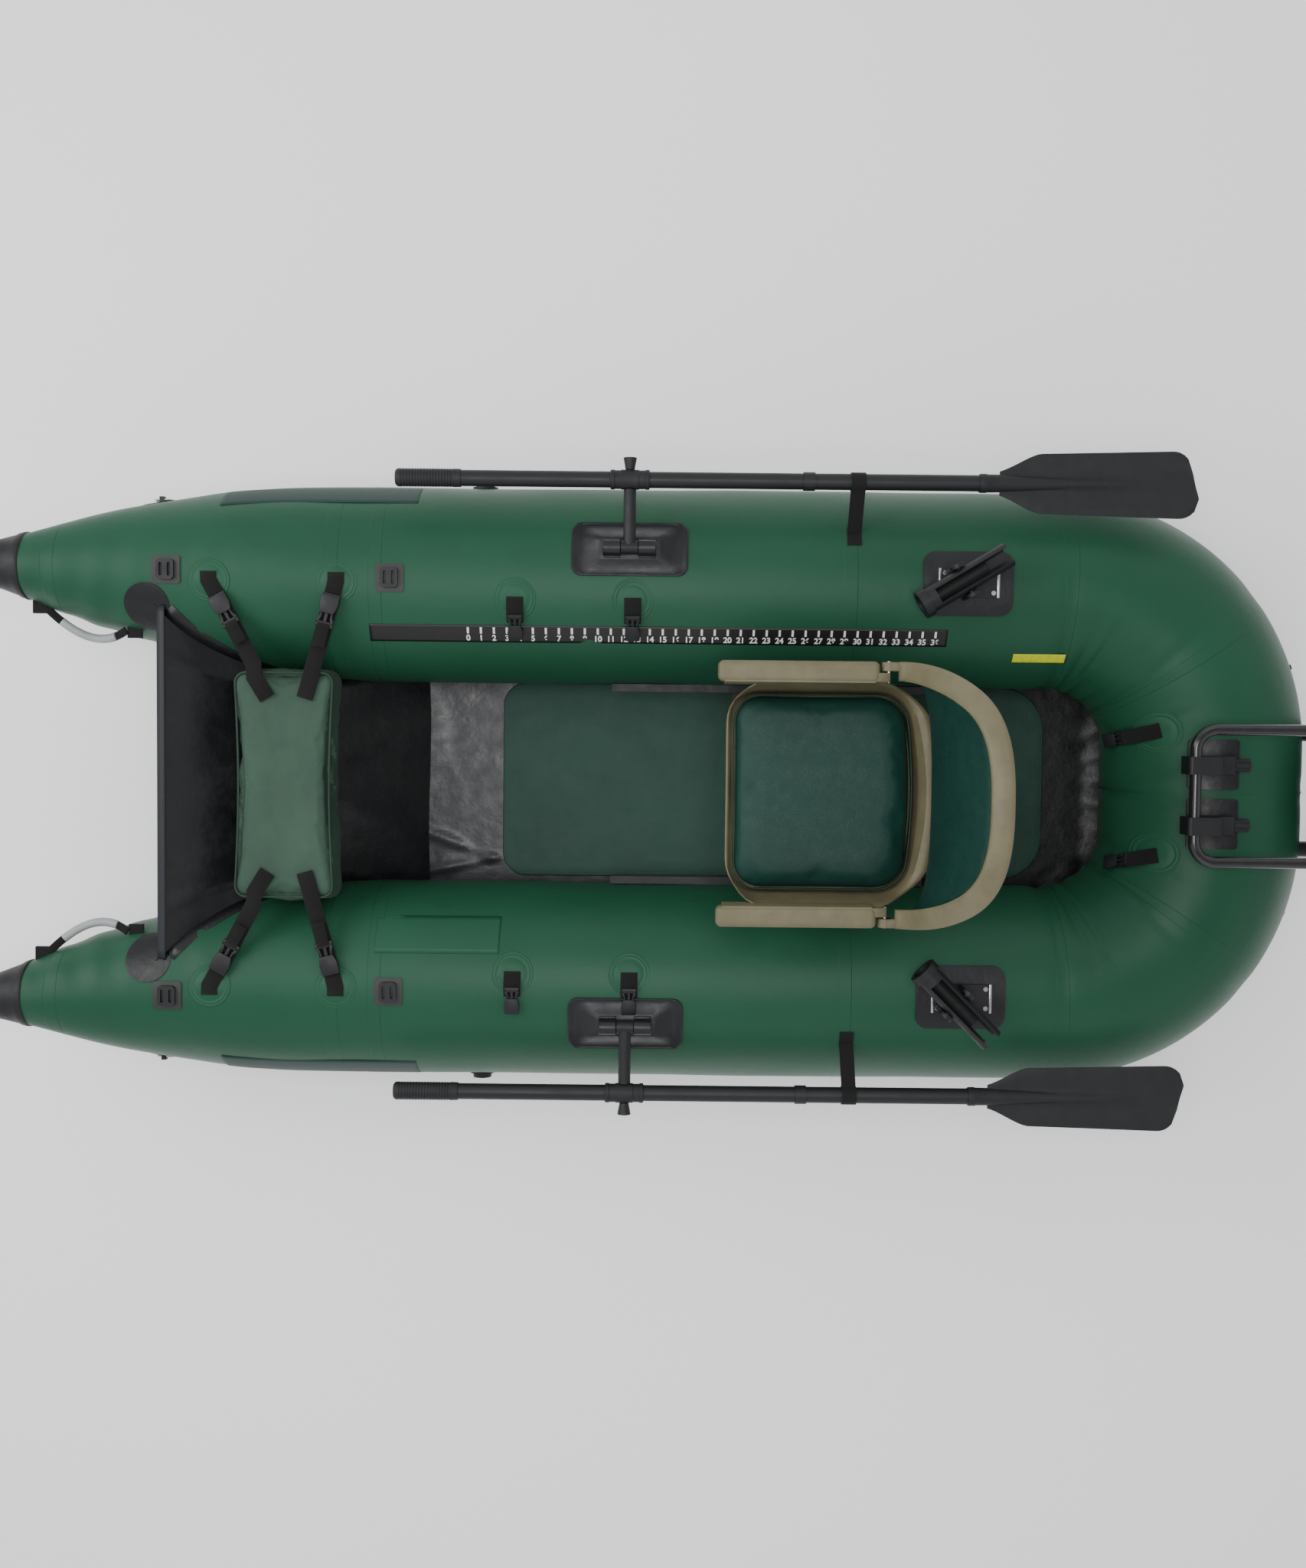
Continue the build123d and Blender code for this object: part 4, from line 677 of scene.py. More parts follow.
def bag_straps(side_name):
    """Two straps from the cone's weld patches over the bag's edge, each with its buckle and a stitched end."""
    side = SIDES[side_name]
    bag_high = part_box("stowage_bag")[1]
    for index, (x0, x1) in enumerate(BAG_STRAPS_X):
        edge_y = bag_high.y
        start, middle = on_skin(x0, 0.413, 0.0022, side), on_skin(x0, BAG_PATCH_Y, 0.0026, side)
        rim = Vector((x1 + (x0 - x1) * 0.04, (edge_y + 0.004) * side, bag_high.z - 0.013))
        over = Vector((x1, (edge_y - 0.018) * side, bag_high.z + 0.0005))
        end = Vector((x1 - (x0 - x1) * 0.28, (edge_y - 0.060) * side, bag_high.z + 0.0008))
        path = [start, middle]
        path += [middle.lerp(rim, t / 7) - Vector((0, 0, 0.006 * math.sin(math.pi * t / 7))) for t in range(1, 8)]
        path += [over, end]
        ribbon(f"{side_name}_bag_strap_{index}", path, Vector((0, 0, 1)), 0.032, 0.0018, "webbing", "hull",
               replaces=["webbing_straps"])
        spot = middle.lerp(rim, 0.36) - Vector((0, 0, 0.003))
        buckle(f"{side_name}_bag_buckle_{index}", spot, rim - middle, (0, 0, 1), "hull", 1.05, ["buckles"])
        tail = [spot + (rim - middle).normalized() * d + Vector((0, 0, 0.0085 + 0.002 * math.sin(d * 90)))
                for d in (0.024, 0.04, 0.056, 0.07)]
        ribbon(f"{side_name}_bag_tail_{index}", tail, Vector((0, 0, 1)), 0.024, 0.0014, "webbing", "hull")


def mid_straps(side_name):
    """Short straps on the tube's shoulder with their half buckles."""
    side = SIDES[side_name]
    way = -1 if side_name == "starboard" else 1
    for index, x in enumerate(MID_STRAPS_X):
        ys = [MID_PATCH_Y + way * d for d in (-0.004, 0.010, 0.022, 0.034, 0.044)]
        lifts = (0.002, 0.0035, 0.006, 0.005, 0.003)
        path = [on_skin(x, y, lift, side) for y, lift in zip(ys, lifts)]
        ups = [skin_normal(x, y, side) for y in ys]
        ribbon(f"{side_name}_mid_strap_{index}", path, ups, 0.033, 0.0018, "webbing", "hull",
               replaces=["webbing_straps"])
        spot = on_skin(x, ys[-1] + way * 0.006, 0.0035, side)
        inward = on_skin(x, ys[-1] + way * 0.02, 0.0, side) - on_skin(x, ys[-1], 0.0, side)
        buckle(f"{side_name}_mid_buckle_{index}", spot, -inward, skin_normal(x, ys[-1], side), "hull", 0.85,
               ["buckles"])


def stern_straps(side_name):
    """Strap that runs forward from each stern weld patch, with its buckle; both slant the same way."""
    side = SIDES[side_name]
    path, ups = [], []
    for d in range(7):
        x, y = 1.001 - 0.010 * d, 0.124 - side * 0.0032 * d
        path.append(on_skin(x, y, 0.002 + 0.004 * math.sin(math.pi * d / 6), side))
        ups.append(skin_normal(x, y, side))
    ribbon(f"{side_name}_stern_strap", path, ups, 0.030, 0.0018, "webbing", "hull", replaces=["webbing_straps"])
    x, y = 0.941, 0.124 - side * 0.0195
    spot = on_skin(x, y, 0.0035, side)
    buckle(f"{side_name}_stern_buckle", spot, path[0] - path[-1], skin_normal(x, y, side), "hull", 0.85)


# ---- floor, apron, bag ----
WELD_INSET = 0.0905
FLOOR_LEAD = 0.03


def floor_fabric():
    """Black fabric floor, tight at the board and gathered where it is laced to the stern."""
    low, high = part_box("floor_sheet")
    verts, uvs = [], []
    rows, columns = 170, 90
    length, width = high.x - low.x + FLOOR_LEAD, 2 * (PONTOON_Y - WELD_INSET)
    for i in range(rows):
        x = low.x - FLOOR_LEAD + length * i / (rows - 1)
        turn = x - CORNER_X
        reach = PONTOON_Y - WELD_INSET
        if turn > 0:
            inside = (CORNER_RADIUS - WELD_INSET) ** 2 - turn ** 2
            reach = CORNER_Y + math.sqrt(max(inside, 0.0))
        for j in range(columns):
            v = -1 + 2 * j / (columns - 1)
            y = v * reach
            rim = max(abs(v) ** 6, smoothstep(high.x - 0.12, high.x, x))
            bare = smoothstep(0.83, 0.90, x)
            gather = 0.0024 * bare * math.sin(math.atan2(y, x - CORNER_X + 0.05) * 26) * (0.3 + rim)
            gather *= 0.6 + 1.2 * noise.noise(Vector((x * 8, y * 6, 3)))
            port_fold = math.exp(-((y + 0.15 + 0.35 * (x + 0.4)) / 0.012) ** 2)
            port_fold += math.exp(-((y + 0.185 - 0.2 * (x + 0.4)) / 0.009) ** 2)
            crease = 0.006 * noise.noise(Vector((x * 9, y * 5, 2))) + 0.005 * port_fold
            crease *= smoothstep(-0.325, -0.35, x)
            slack = 0.004 * noise.noise(Vector((x * 14, y * 3, 7))) * smoothstep(-0.33, -0.40, x)
            z = high.z + 0.016 * abs(v) ** 10 + gather + crease + slack + 0.02 * bare * rim
            verts.append((x, y, max(z, low.z + 0.003)))
            uvs.append((x, y))
    piece = new_piece("floor_fabric", verts, grid_faces(rows, columns), "black_pvc", "hull", uvs=uvs,
                      replaces=["floor_sheet"])
    piece.data.materials.append(M["floor_vinyl"])
    for polygon in piece.data.polygons:
        polygon.material_index = 1 if polygon.center.x < 0 else 0


def apron_point(t, v, lift=0.0):
    """Point on the bow apron: t from its foot to its head, v across."""
    low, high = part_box("bow_apron")
    foot = Vector((high.x, 0, low.z + 0.004))
    head = Vector((low.x + 0.004, 0, high.z - 0.004))
    point = foot.lerp(head, t)
    s, _ = path_place(point.x, PONTOON_Y)
    centre, _, radius = station(s)
    drop = centre.z - point.z
    inner = centre.y - math.sqrt(max(radius ** 2 - drop ** 2, 0.0)) + 0.006
    sag = 0.030 * math.sin(math.pi * t) * (1 - v * v)
    normal = Vector((head.z - foot.z, 0, foot.x - head.x)).normalized()
    return Vector((point.x, v * inner, point.z)) + normal * (sag * 0.4 + lift)


def bow_apron():
    """Sloping black apron with soft folds and a rolled hem between the bows."""
    verts, uvs = [], []
    rows, columns = 70, 90
    for i in range(rows):
        t = 0.02 + 0.97 * i / (rows - 1)
        for j in range(columns):
            v = -1 + 2 * j / (columns - 1)
            side_pull = abs(v) ** 3
            fold = 0.0012 * math.sin(v * 13 + t * 5) * (1 - side_pull) * t
            fold += 0.010 * noise.noise(Vector((t * 2.6 + abs(v) * 1.5, v * 1.7, 4)))
            fold += 0.004 * math.exp(-((abs(v) - 0.72 - 0.25 * (1 - t)) / 0.05) ** 2) * t
            verts.append(apron_point(t, v, fold))
            uvs.append((t * 0.62, v * 0.34))
    sheet = new_piece("apron_fabric", verts, grid_faces(rows, columns), "black_pvc", "hull", uvs=uvs,
                      replaces=["bow_apron"])
    foot, middle, head = (2 * apron_point(t, 1.0).y for t in (0.02, 0.505, 0.99))
    slope = (apron_point(0.99, 0.0) - apron_point(0.02, 0.0)).length
    points = [apron_point(0.985, -1 + 2 * k / 40, 0.003) for k in range(41)]
    # the hem's grey is a painted highlight on the apron's black edge
    hem = ribbon("apron_hem", points, Vector((-0.35, 0, 1)), 0.018, 0.004, "hem_grey", "hull")


def board_panel():
    """Foot board with a rounded rim and cut-back aft corners."""
    low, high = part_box("floorboard")
    front, aft, half = low.x, high.x, high.y
    rings = []
    for inset, z in ((0.003, low.z), (0.0, low.z + 0.002), (0.0, high.z - 0.003), (0.001, high.z - 0.001),
                     (0.0035, high.z), (0.02, high.z), (0.10, high.z)):
        ring = []
        for sign in (1, -1):
            for edge, radius in ((front, 0.050), (aft, 0.095))[::-sign]:
                way = 1 if edge == aft else -1
                cx, cy = edge - way * radius, sign * (half - radius)
                base = (0 if sign > 0 else -math.pi / 2) if way > 0 else (math.pi / 2 if sign > 0 else math.pi)
                reach, past = max(radius - inset, 0.004), max(inset - radius + 0.004, 0)
                for k in range(11):
                    angle = base + math.pi / 2 * k / 10
                    ring.append((cx - way * past + reach * math.cos(angle),
                                 cy - sign * past + reach * math.sin(angle), z))
        rings.append(ring)
    kit = Kit().stack(rings)
    kit.piece("floorboard_panel", "deck_foam", "hull", replaces=["floorboard"], angle=0.9)


def inflate(obj, voxel, pressure, most, room=None, frames=20):
    """Cloth simulation under pressure, applied to the mesh: no point moves further than most or leaves the room."""
    scene = bpy.context.scene
    remesh = obj.modifiers.new("remesh", "REMESH")
    remesh.mode = "VOXEL"
    remesh.voxel_size = voxel
    shape = bpy.data.meshes.new_from_object(obj.evaluated_get(bpy.context.evaluated_depsgraph_get()))
    obj.modifiers.clear()
    materials = list(obj.data.materials)
    obj.data = shape
    obj.data.materials.clear()
    for material in materials:
        obj.data.materials.append(material)
    rest = [v.co.copy() for v in obj.data.vertices]
    cloth = obj.modifiers.new("cloth", "CLOTH")
    set_all(cloth.settings, use_pressure=True, uniform_pressure_force=pressure, quality=5, tension_stiffness=12,
            compression_stiffness=12, bending_stiffness=0.4)
    cloth.settings.effector_weights.gravity = 0
    cloth.point_cache.frame_end = frames
    for step in range(1, frames + 1):
        scene.frame_set(step)
    swollen = obj.evaluated_get(bpy.context.evaluated_depsgraph_get())
    moved = [v.co.copy() for v in swollen.data.vertices]
    obj.modifiers.clear()
    scene.frame_set(1)
    for vertex, start, now in zip(obj.data.vertices, rest, moved):
        step = now - start
        if step.length > most:
            step *= most / step.length
        place = start + step
        if room:
            place = Vector(max(a, min(b, c)) for a, b, c in zip(room[0], room[1], place))
        vertex.co = place
    for polygon in obj.data.polygons:
        polygon.use_smooth = True


def raw_mesh(name, rings, material):
    """Closed mesh of stacked rings, not yet riding on anything."""
    kit = Kit().stack(rings)
    mesh = bpy.data.meshes.new(name)
    mesh.from_pydata([tuple(v) for v in kit.verts], [], kit.faces)
    for polygon in mesh.polygons:
        polygon.use_smooth = True
    obj = add_object(name, mesh)
    mesh.materials.append(M[material])
    return face_out(obj)


def settle(obj, body, replaces):
    """Hangs a soft piece on its body once its shape is done."""
    set_all(obj.modifiers.new("subsurf", "SUBSURF"), levels=1, render_levels=1, boundary_smooth="PRESERVE_CORNERS")
    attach(obj, body)
    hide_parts(*replaces)


def stowage_bag():
    """Green nylon bag: slumped rounded block with creases, its top in a lighter copy of the nylon as painted light
    from above, and piping.
    """
    low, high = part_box("stowage_bag")
    centre = (low + high) / 2
    half = (high - low) / 2
    rings = []
    for share, scale in ((-1, 0.90), (-0.9, 0.96), (-0.5, 0.99), (0, 0.985), (0.5, 0.97), (0.82, 0.955), (0.95, 0.93),
                         (1.0, 0.88)):
        ring = []
        for x, y in rounded_outline(half.x * scale, half.y * (scale + 0.02), 0.022, 6, 26):
            pinch = 1 - 0.085 * math.cos(y / half.y * math.pi / 2) * (0.4 + 0.6 * share)
            ring.append((centre.x + x * pinch, y, centre.z + half.z * share * 0.94))
        rings.append(ring)
    bag = raw_mesh("stowage_bag_shell", rings, "bag_nylon")
    inflate(bag, 0.007, 3.0, 0.009, (low, high))
    for vertex in bag.data.vertices:
        c = vertex.co
        side_on = 1 - smoothstep(0.6, 0.98, (c.z - centre.z) / half.z)
        crease = 0.0048 * noise.noise(Vector((c.x * 22, c.y * 8, c.z * 16)))
        crease -= 0.0035 * abs(noise.noise(Vector((c.x * 42 + c.y * 9, c.y * 20, c.z * 30))))
        outward = Vector((c.x - centre.x, (c.y - centre.y) * 0.3, 0))
        if outward.length:
            c += outward.normalized() * (crease * side_on - 0.001)
        c.z += crease * 0.8 - 0.002
    # faces that point up get the lighter copy of the nylon: painted light on the top
    bag.data.materials.append(M["bag_top"])
    for polygon in bag.data.polygons:
        polygon.material_index = 1 if polygon.normal.z > 0.55 else 0
    settle(bag, "hull", ["stowage_bag"])
    points = []
    for x, y in rounded_outline(half.x * 0.925, half.y * 0.955, 0.022, 6, 26):
        pinch = 1 - 0.085 * math.cos(y / half.y * math.pi / 2)
        points.append((centre.x + x * pinch, y, high.z - 0.009))
    piping(points, 0.0022, "bag_piping", "bag_nylon", "hull")


def piping(points, radius, name, material, body):
    """Round bead along a closed ring of points."""
    data = bpy.data.curves.new(name, "CURVE")
    set_all(data, dimensions="3D", bevel_depth=radius, bevel_resolution=3, use_fill_caps=True)
    spline = data.splines.new("POLY")
    spline.points.add(len(points) - 1)
    for place, point in zip(spline.points, points):
        place.co = (*point, 1)
    spline.use_cyclic_u = True
    obj = add_object(name, data)
    data.materials.append(M[material])
    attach(obj, body)


# ---- seat ----
def seat_ring(front, aft, half, corner, bulge, z, per_side=12):
    """Plan ring of a seat layer, with a bowed aft edge. z is a height or a function of the plan point."""
    half_u, mid = (front + aft) / 2, (aft - front) / 2
    ring = []
    for x, y in rounded_outline(half_u, half, corner, 8, per_side):
        bow = bulge * (1 - (y / half) ** 2) * smoothstep(0, 1, x / half_u)
        px = mid + x + bow
        ring.append((SEAT_X + px, y, z(px, y) if callable(z) else z))
    return ring


def wall_top(x, y):
    """Height of the pan's wall: low at the front lip, high at the arms, middling at the back."""
    side = smoothstep(0.165, 0.195, abs(y))
    along = smoothstep(-0.205, -0.150, x) * (1 - smoothstep(0.10, 0.16, x))
    rear = smoothstep(0.08, 0.15, x)
    lip = 0.448 + 0.003 * math.cos(y * 34)
    return lip + (0.552 - lip) * side * along + (0.4985 - lip) * rear * (1 - side * along)


def seat_shell():
    """Moulded pan: floor, sloping walls and lip."""
    low_z, floor_z = 0.430, 0.4372
    rings = [seat_ring(0.03, 0.03, 0.03, 0.01, 0.0, floor_z), seat_ring(0.165, 0.150, 0.170, 0.04, 0.02, floor_z),
             seat_ring(0.172, 0.146, 0.186, 0.045, 0.022, floor_z + 0.004)]
    for t in (0.25, 0.5, 0.75, 1.0):
        rings.append(seat_ring(0.174 + 0.006 * t, 0.146 + 0.004 * t, 0.186 + 0.020 * t, 0.045 + 0.015 * t,
                               0.022 + 0.018 * t, lambda x, y, t=t: 0.441 + (wall_top(x, y) - 0.441) * t))
    rings.append(seat_ring(0.183, 0.156, 0.2085, 0.070, 0.047, lambda x, y: wall_top(x, y) + 0.0025))
    rings.append(seat_ring(0.184, 0.162, 0.2095, 0.080, 0.054, lambda x, y: wall_top(x, y) + 0.0025))
    rings.append(seat_ring(0.1865, 0.165, 0.2115, 0.082, 0.057, lambda x, y: wall_top(x, y)))
    for t in (0.6, 0.25, 0.05):
        rings.append(seat_ring(0.180 + 0.006 * t, 0.148 + 0.016 * t, 0.196 + 0.015 * t, 0.070, 0.040,
                               lambda x, y, t=t: 0.433 + (wall_top(x, y) - 0.433) * t))
    rings += [seat_ring(0.176, 0.160, 0.190, 0.04, 0.024, low_z), seat_ring(0.03, 0.03, 0.03, 0.01, 0.0, low_z)]
    kit = Kit().stack(rings)
    kit.piece("seat_pan_shell", "tan_plastic", "seat", replaces=["seat_pan"], angle=1.0)


def seat_arm(side_name):
    """Hollow-looking armrest with soft edges, a stepped end at the hinge and its lug."""
    side = SIDES[side_name]
    front, aft = -0.208, 0.089
    inner, outer = 0.2065, 0.2460
    kit = Kit(Matrix.Translation((SEAT_X + (front + aft) / 2, side * (inner + outer) / 2, 0)))
    rings = []
    half_u, half_v = (aft - front) / 2, (outer - inner) / 2
    for inset, z in ((0.004, 0.546), (0.0015, 0.5475), (0.0, 0.551), (0.0, 0.568), (0.0010, 0.5715), (0.0032, 0.5745),
                     (0.0065, 0.5757), (0.0110, 0.5760)):
        ring = rounded_outline(half_u - inset, half_v - inset, max(0.011 - inset, 0.003), 8, 12)
        rings.append([(x, y, z) for x, y in ring])
    kit.stack(rings)
    kit.plate([(half_u - 0.026, -half_v + 0.001), (half_u + 0.017, -half_v + 0.001), (half_u + 0.017, -0.001),
               (half_u - 0.026, -0.001)] if side > 0 else
              [(half_u - 0.026, 0.001), (half_u + 0.017, 0.001), (half_u + 0.017, half_v - 0.001),
               (half_u - 0.026, half_v - 0.001)], 0.548, 0.5745, 0.003)
    kit.piece(f"{side_name}_armrest", "tan_plastic", "seat", replaces=["seat_pan"], angle=0.9)
    skirt = Kit()
    rows = []
    for t in (0, 0.2, 0.45, 0.7, 0.9, 1.0):
        y_in = 0.2065 - 0.0005 * t - 0.004 * math.sin(math.pi * t * 0.5)
        z = 0.5745 - 0.030 * t
        rows.append([(SEAT_X + front + 0.012 + (aft - front - 0.02) * k / 20, side * y_in, z) for k in range(21)]
                    + [(SEAT_X + aft - 0.008 - (aft - front - 0.02) * k / 20, side * (y_in + 0.004), z)
                       for k in range(21)])
    skirt.stack(rows)
    skirt.piece(f"{side_name}_arm_skirt", "tan_plastic", "seat", replaces=["seat_pan"], angle=0.9)


BACK_EDGE = ((0.123, 0.576), (0.149, 0.603), (0.203, 0.7185), (0.247, 0.8115), (0.281, 0.850))


def back_edge_z(x):
    """Height of the back's rim at a distance aft of the seat's centre."""
    total = 0.0
    for k in range(-2, 3):
        px = min(max(x + 0.007 * k, BACK_EDGE[0][0]), BACK_EDGE[-1][0])
        for (x0, z0), (x1, z1) in zip(BACK_EDGE, BACK_EDGE[1:]):
            if px <= x1 or x1 == BACK_EDGE[-1][0]:
                total += z0 + (z1 - z0) * (px - x0) / (x1 - x0)
                break
    return total / 5


def bucket_point(w, z, inset):
    """Plan point of the back at a height: w from -1 at the port hinge to 1 at the starboard one."""
    start = BACK_EDGE[0][0]
    half, depth = 0.2455 - inset, 0.228 + 0.054 * ((z - 0.502) / 0.348) - start - inset
    turn, power = math.pi / 2 * (1 - abs(w)), 2 / 2.55
    x = start + depth * max(math.sin(turn), 0.0) ** power
    y = half * max(math.cos(turn), 0.0) ** power
    return Vector((SEAT_X + x, math.copysign(y, w), z))


def rim_height(w):
    """Height where the back's outer face meets its upper edge."""
    z = 0.7
    for _ in range(12):
        z = 0.5 * z + 0.5 * back_edge_z(bucket_point(w, z, 0.0).x - SEAT_X)
    return z


def low_height(w):
    """Height of the back's lower edge."""
    x = bucket_point(w, 0.52, 0.0).x - SEAT_X
    return 0.546 - 0.043 * smoothstep(0.120, 0.170, x)


def seat_back():
    """Wrap-around moulded back with a broad rounded rim."""
    count = 121
    rings = []
    for k in range(count):
        w = -1 + 2 * k / (count - 1)
        top, low = rim_height(w), low_height(w)
        width = 0.036 + 0.003 * smoothstep(1.0, 0.7, abs(w))
        ring = []
        for inset, drop in ((0.0, 0.006), (0.0012, 0.0025), (0.005, 0.0005), (0.010, 0.0), (width * 0.5, 0.0),
                            (width - 0.007, 0.0008), (width - 0.002, 0.003), (width, 0.007), (width - 0.001, 0.0125),
                            (width - 0.008, 0.0145), (0.010, 0.018)):
            ring.append(bucket_point(w, top - drop, inset))
        for t in (0.3, 0.6, 0.9):
            ring.append(bucket_point(w, top - 0.02 + (low - top + 0.02) * t, 0.0065))
        ring += [bucket_point(w, low, 0.005), bucket_point(w, low, 0.001)]
        for t in (0.1, 0.4, 0.7, 0.95):
            ring.append(bucket_point(w, low + (top - 0.006 - low) * t, 0.0))
        rings.append([tuple(p) for p in ring])
    kit = Kit().stack(rings)
    kit.piece("seat_back_shell", "tan_plastic", "seat_back", replaces=["seat_back"], angle=1.0)
    for side_name, side in SIDES.items():
        hinge = Kit(Matrix.Translation((SEAT_X + 0.106, side * 0.2365, 0.561)))
        hinge.lathe([(-0.0085, 0.012), (-0.0078, 0.0138), (0.0065, 0.0138), (0.0083, 0.0120), (0.0083, 0.006)],
                    (0, side, 0))
        hinge.block(0.002, 0.030, 0.0085, -0.012, 0.0138, 0.003)
        hinge.piece(f"{side_name}_back_knuckle", "tan_plastic", "seat_back", replaces=["seat_back"])


def seat_cushions():
    """Crowned seat cushion with a piped seam, and the crescent back cushion."""
    low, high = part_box("seat_cushion")
    rings = []
    for inset, z in ((0.030, 0.0), (0.012, 0.002), (0.005, 0.010), (0.003, 0.022), (0.003, 0.034), (0.006, 0.043),
                     (0.014, 0.050), (0.035, 0.0545), (0.07, 0.057), (0.12, 0.058)):
        rings.append(seat_ring(0.178 - inset, 0.153 - inset, 0.189 - inset, max(0.052 - 0.5 * inset, 0.01), 0.016,
                               low.z + z, 10))
    cushion = raw_mesh("seat_pad", rings, "seat_vinyl")
    reach = Vector((0.006, 0.008, 0))
    inflate(cushion, 0.006, 4.0, 0.006, (low - reach, high + reach))
    settle(cushion, "seat", ["seat_cushion"])
    seam = seat_ring(0.1745, 0.1490, 0.1845, 0.050, 0.016, low.z + 0.040, 16)
    piping(seam, 0.0016, "seat_pad_piping", "seat_vinyl", "seat")
    rings = []
    count = 61
    for k in range(count):
        w = (-1 + 2 * k / (count - 1)) * 0.90
        top = rim_height(w) - 0.016
        low_z = max(low_height(w) + 0.006, 0.509)
        plump = math.cos(w / 0.92 * math.pi / 2) ** 0.55
        ring = []
        for t, depth in ((0.0, 0.010), (0.0, 0.5), (0.06, 0.86), (0.2, 1.0), (0.4, 1.08), (0.6, 1.04), (0.8, 0.86),
                         (0.93, 0.62), (1.0, 0.36), (1.0, 0.10)):
            z = low_z + (top - low_z) * t
            ring.append(tuple(bucket_point(w, z, 0.007 + 0.034 * plump * depth)))
        for t in (0.8, 0.5, 0.2):
            ring.append(tuple(bucket_point(w, low_z + (top - low_z) * t, 0.007)))
        rings.append(ring)
    back = raw_mesh("back_pad", rings, "seat_vinyl")
    inflate(back, 0.006, 3.0, 0.005)
    settle(back, "seat_back", ["back_cushion"])


# ---- oars ----
def blade_half(t):
    """Half width of the blade from its root (0) to its tip (1)."""
    if t < 0.2:
        return 0.020 + 0.037 * smoothstep(-0.05, 0.24, t) / smoothstep(-0.05, 0.24, 0.2)
    return 0.057 + 0.008 * (t - 0.2) / 0.8


def oar(side_name):
    """Blade with its rib, ribbed grip and clamped sleeve."""
    side = SIDES[side_name]
    low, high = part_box(f"{side_name}_oar_blade")
    grip_low, grip_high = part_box(f"{side_name}_oar_grip")
    z = (grip_low.z + grip_high.z) / 2
    y = (grip_low.y + grip_high.y) / 2
    root = low.x + 0.039
    length = high.x - root
    kit = Kit(Matrix.Translation((root, y, z)))
    columns = 26
    rings = []
    for i in range(49):
        t = i / 48
        half = blade_half(t)
        left = (1 - t) * length
        if left < 0.038:
            half -= 0.038 - math.sqrt(max(0.038 ** 2 - (0.038 - left) ** 2, 0.0))
        ring = []
        for j in range(columns * 2):
            upper = j < columns
            v = 1 - 2 * (j % columns) / (columns - 1)
            v = v if upper else -v
            edge = (1 - abs(v) ** 8)
            rib = 0.011 * math.exp(-(v * half / 0.009) ** 2) * (1 - smoothstep(0.45, 0.85, t))
            scoop = -0.0012 * math.cos(v * math.pi) * smoothstep(0.1, 0.3, t)
            height = (0.0012 + 0.0018 * edge + rib) * (1 if upper else -1) + scoop
            ring.append((t * length - 0.014 * (v * side + 1) / 2 * smoothstep(0.5, 1, t), v * half, height))
        rings.append(ring)
    kit.stack(rings)
    kit.lathe([(-0.039, 0.0155), (-0.039, 0.0175), (-0.036, 0.0182), (-0.026, 0.0182), (-0.024, 0.0172),
               (0.0, 0.0168), (0.05, 0.0145), (0.14, 0.0105), (0.22, 0.006), (0.28, 0.003)])
    kit.piece(f"{side_name}_blade_form", "oar_plastic", f"{side_name}_oar", slot="black_plastic",
              replaces=[f"{side_name}_oar_blade"], angle=1.1)
    grip = Kit(Matrix.Translation((grip_low.x, y, z)))
    length = grip_high.x - grip_low.x
    profile = [(0.0, 0.006), (0.0008, 0.0135), (0.004, 0.0168), (0.008, 0.0175)]
    for k in range(18):
        start = 0.012 + k * 0.0056
        profile += [(start, 0.0175), (start + 0.0008, 0.0166), (start + 0.0022, 0.0166), (start + 0.0030, 0.0175)]
    profile += [(length - 0.008, 0.0175), (length - 0.001, 0.0172), (length, 0.0156)]
    grip.lathe(profile)
    grip.piece(f"{side_name}_grip_form", "oar_plastic", f"{side_name}_oar", slot="black_plastic",
               replaces=[f"{side_name}_oar_grip"], angle=0.5)
    sleeve_low, sleeve_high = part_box(f"{side_name}_oar_sleeve")
    sleeve = Kit(Matrix.Translation(((sleeve_low.x + sleeve_high.x) / 2, y, z)))
    sleeve.lathe([(-0.0375, 0.0157), (-0.0375, 0.0178), (-0.036, 0.019), (-0.030, 0.019), (-0.029, 0.0178),
                  (-0.018, 0.0178), (-0.016, 0.0190), (0.016, 0.0190), (0.018, 0.0178), (0.029, 0.0178),
                  (0.030, 0.019), (0.036, 0.019), (0.0375, 0.0178), (0.0375, 0.0157)])
    sleeve.piece(f"{side_name}_sleeve_form", "oar_plastic", f"{side_name}_oar", slot="black_plastic",
                 replaces=[f"{side_name}_oar_sleeve"], angle=0.5)


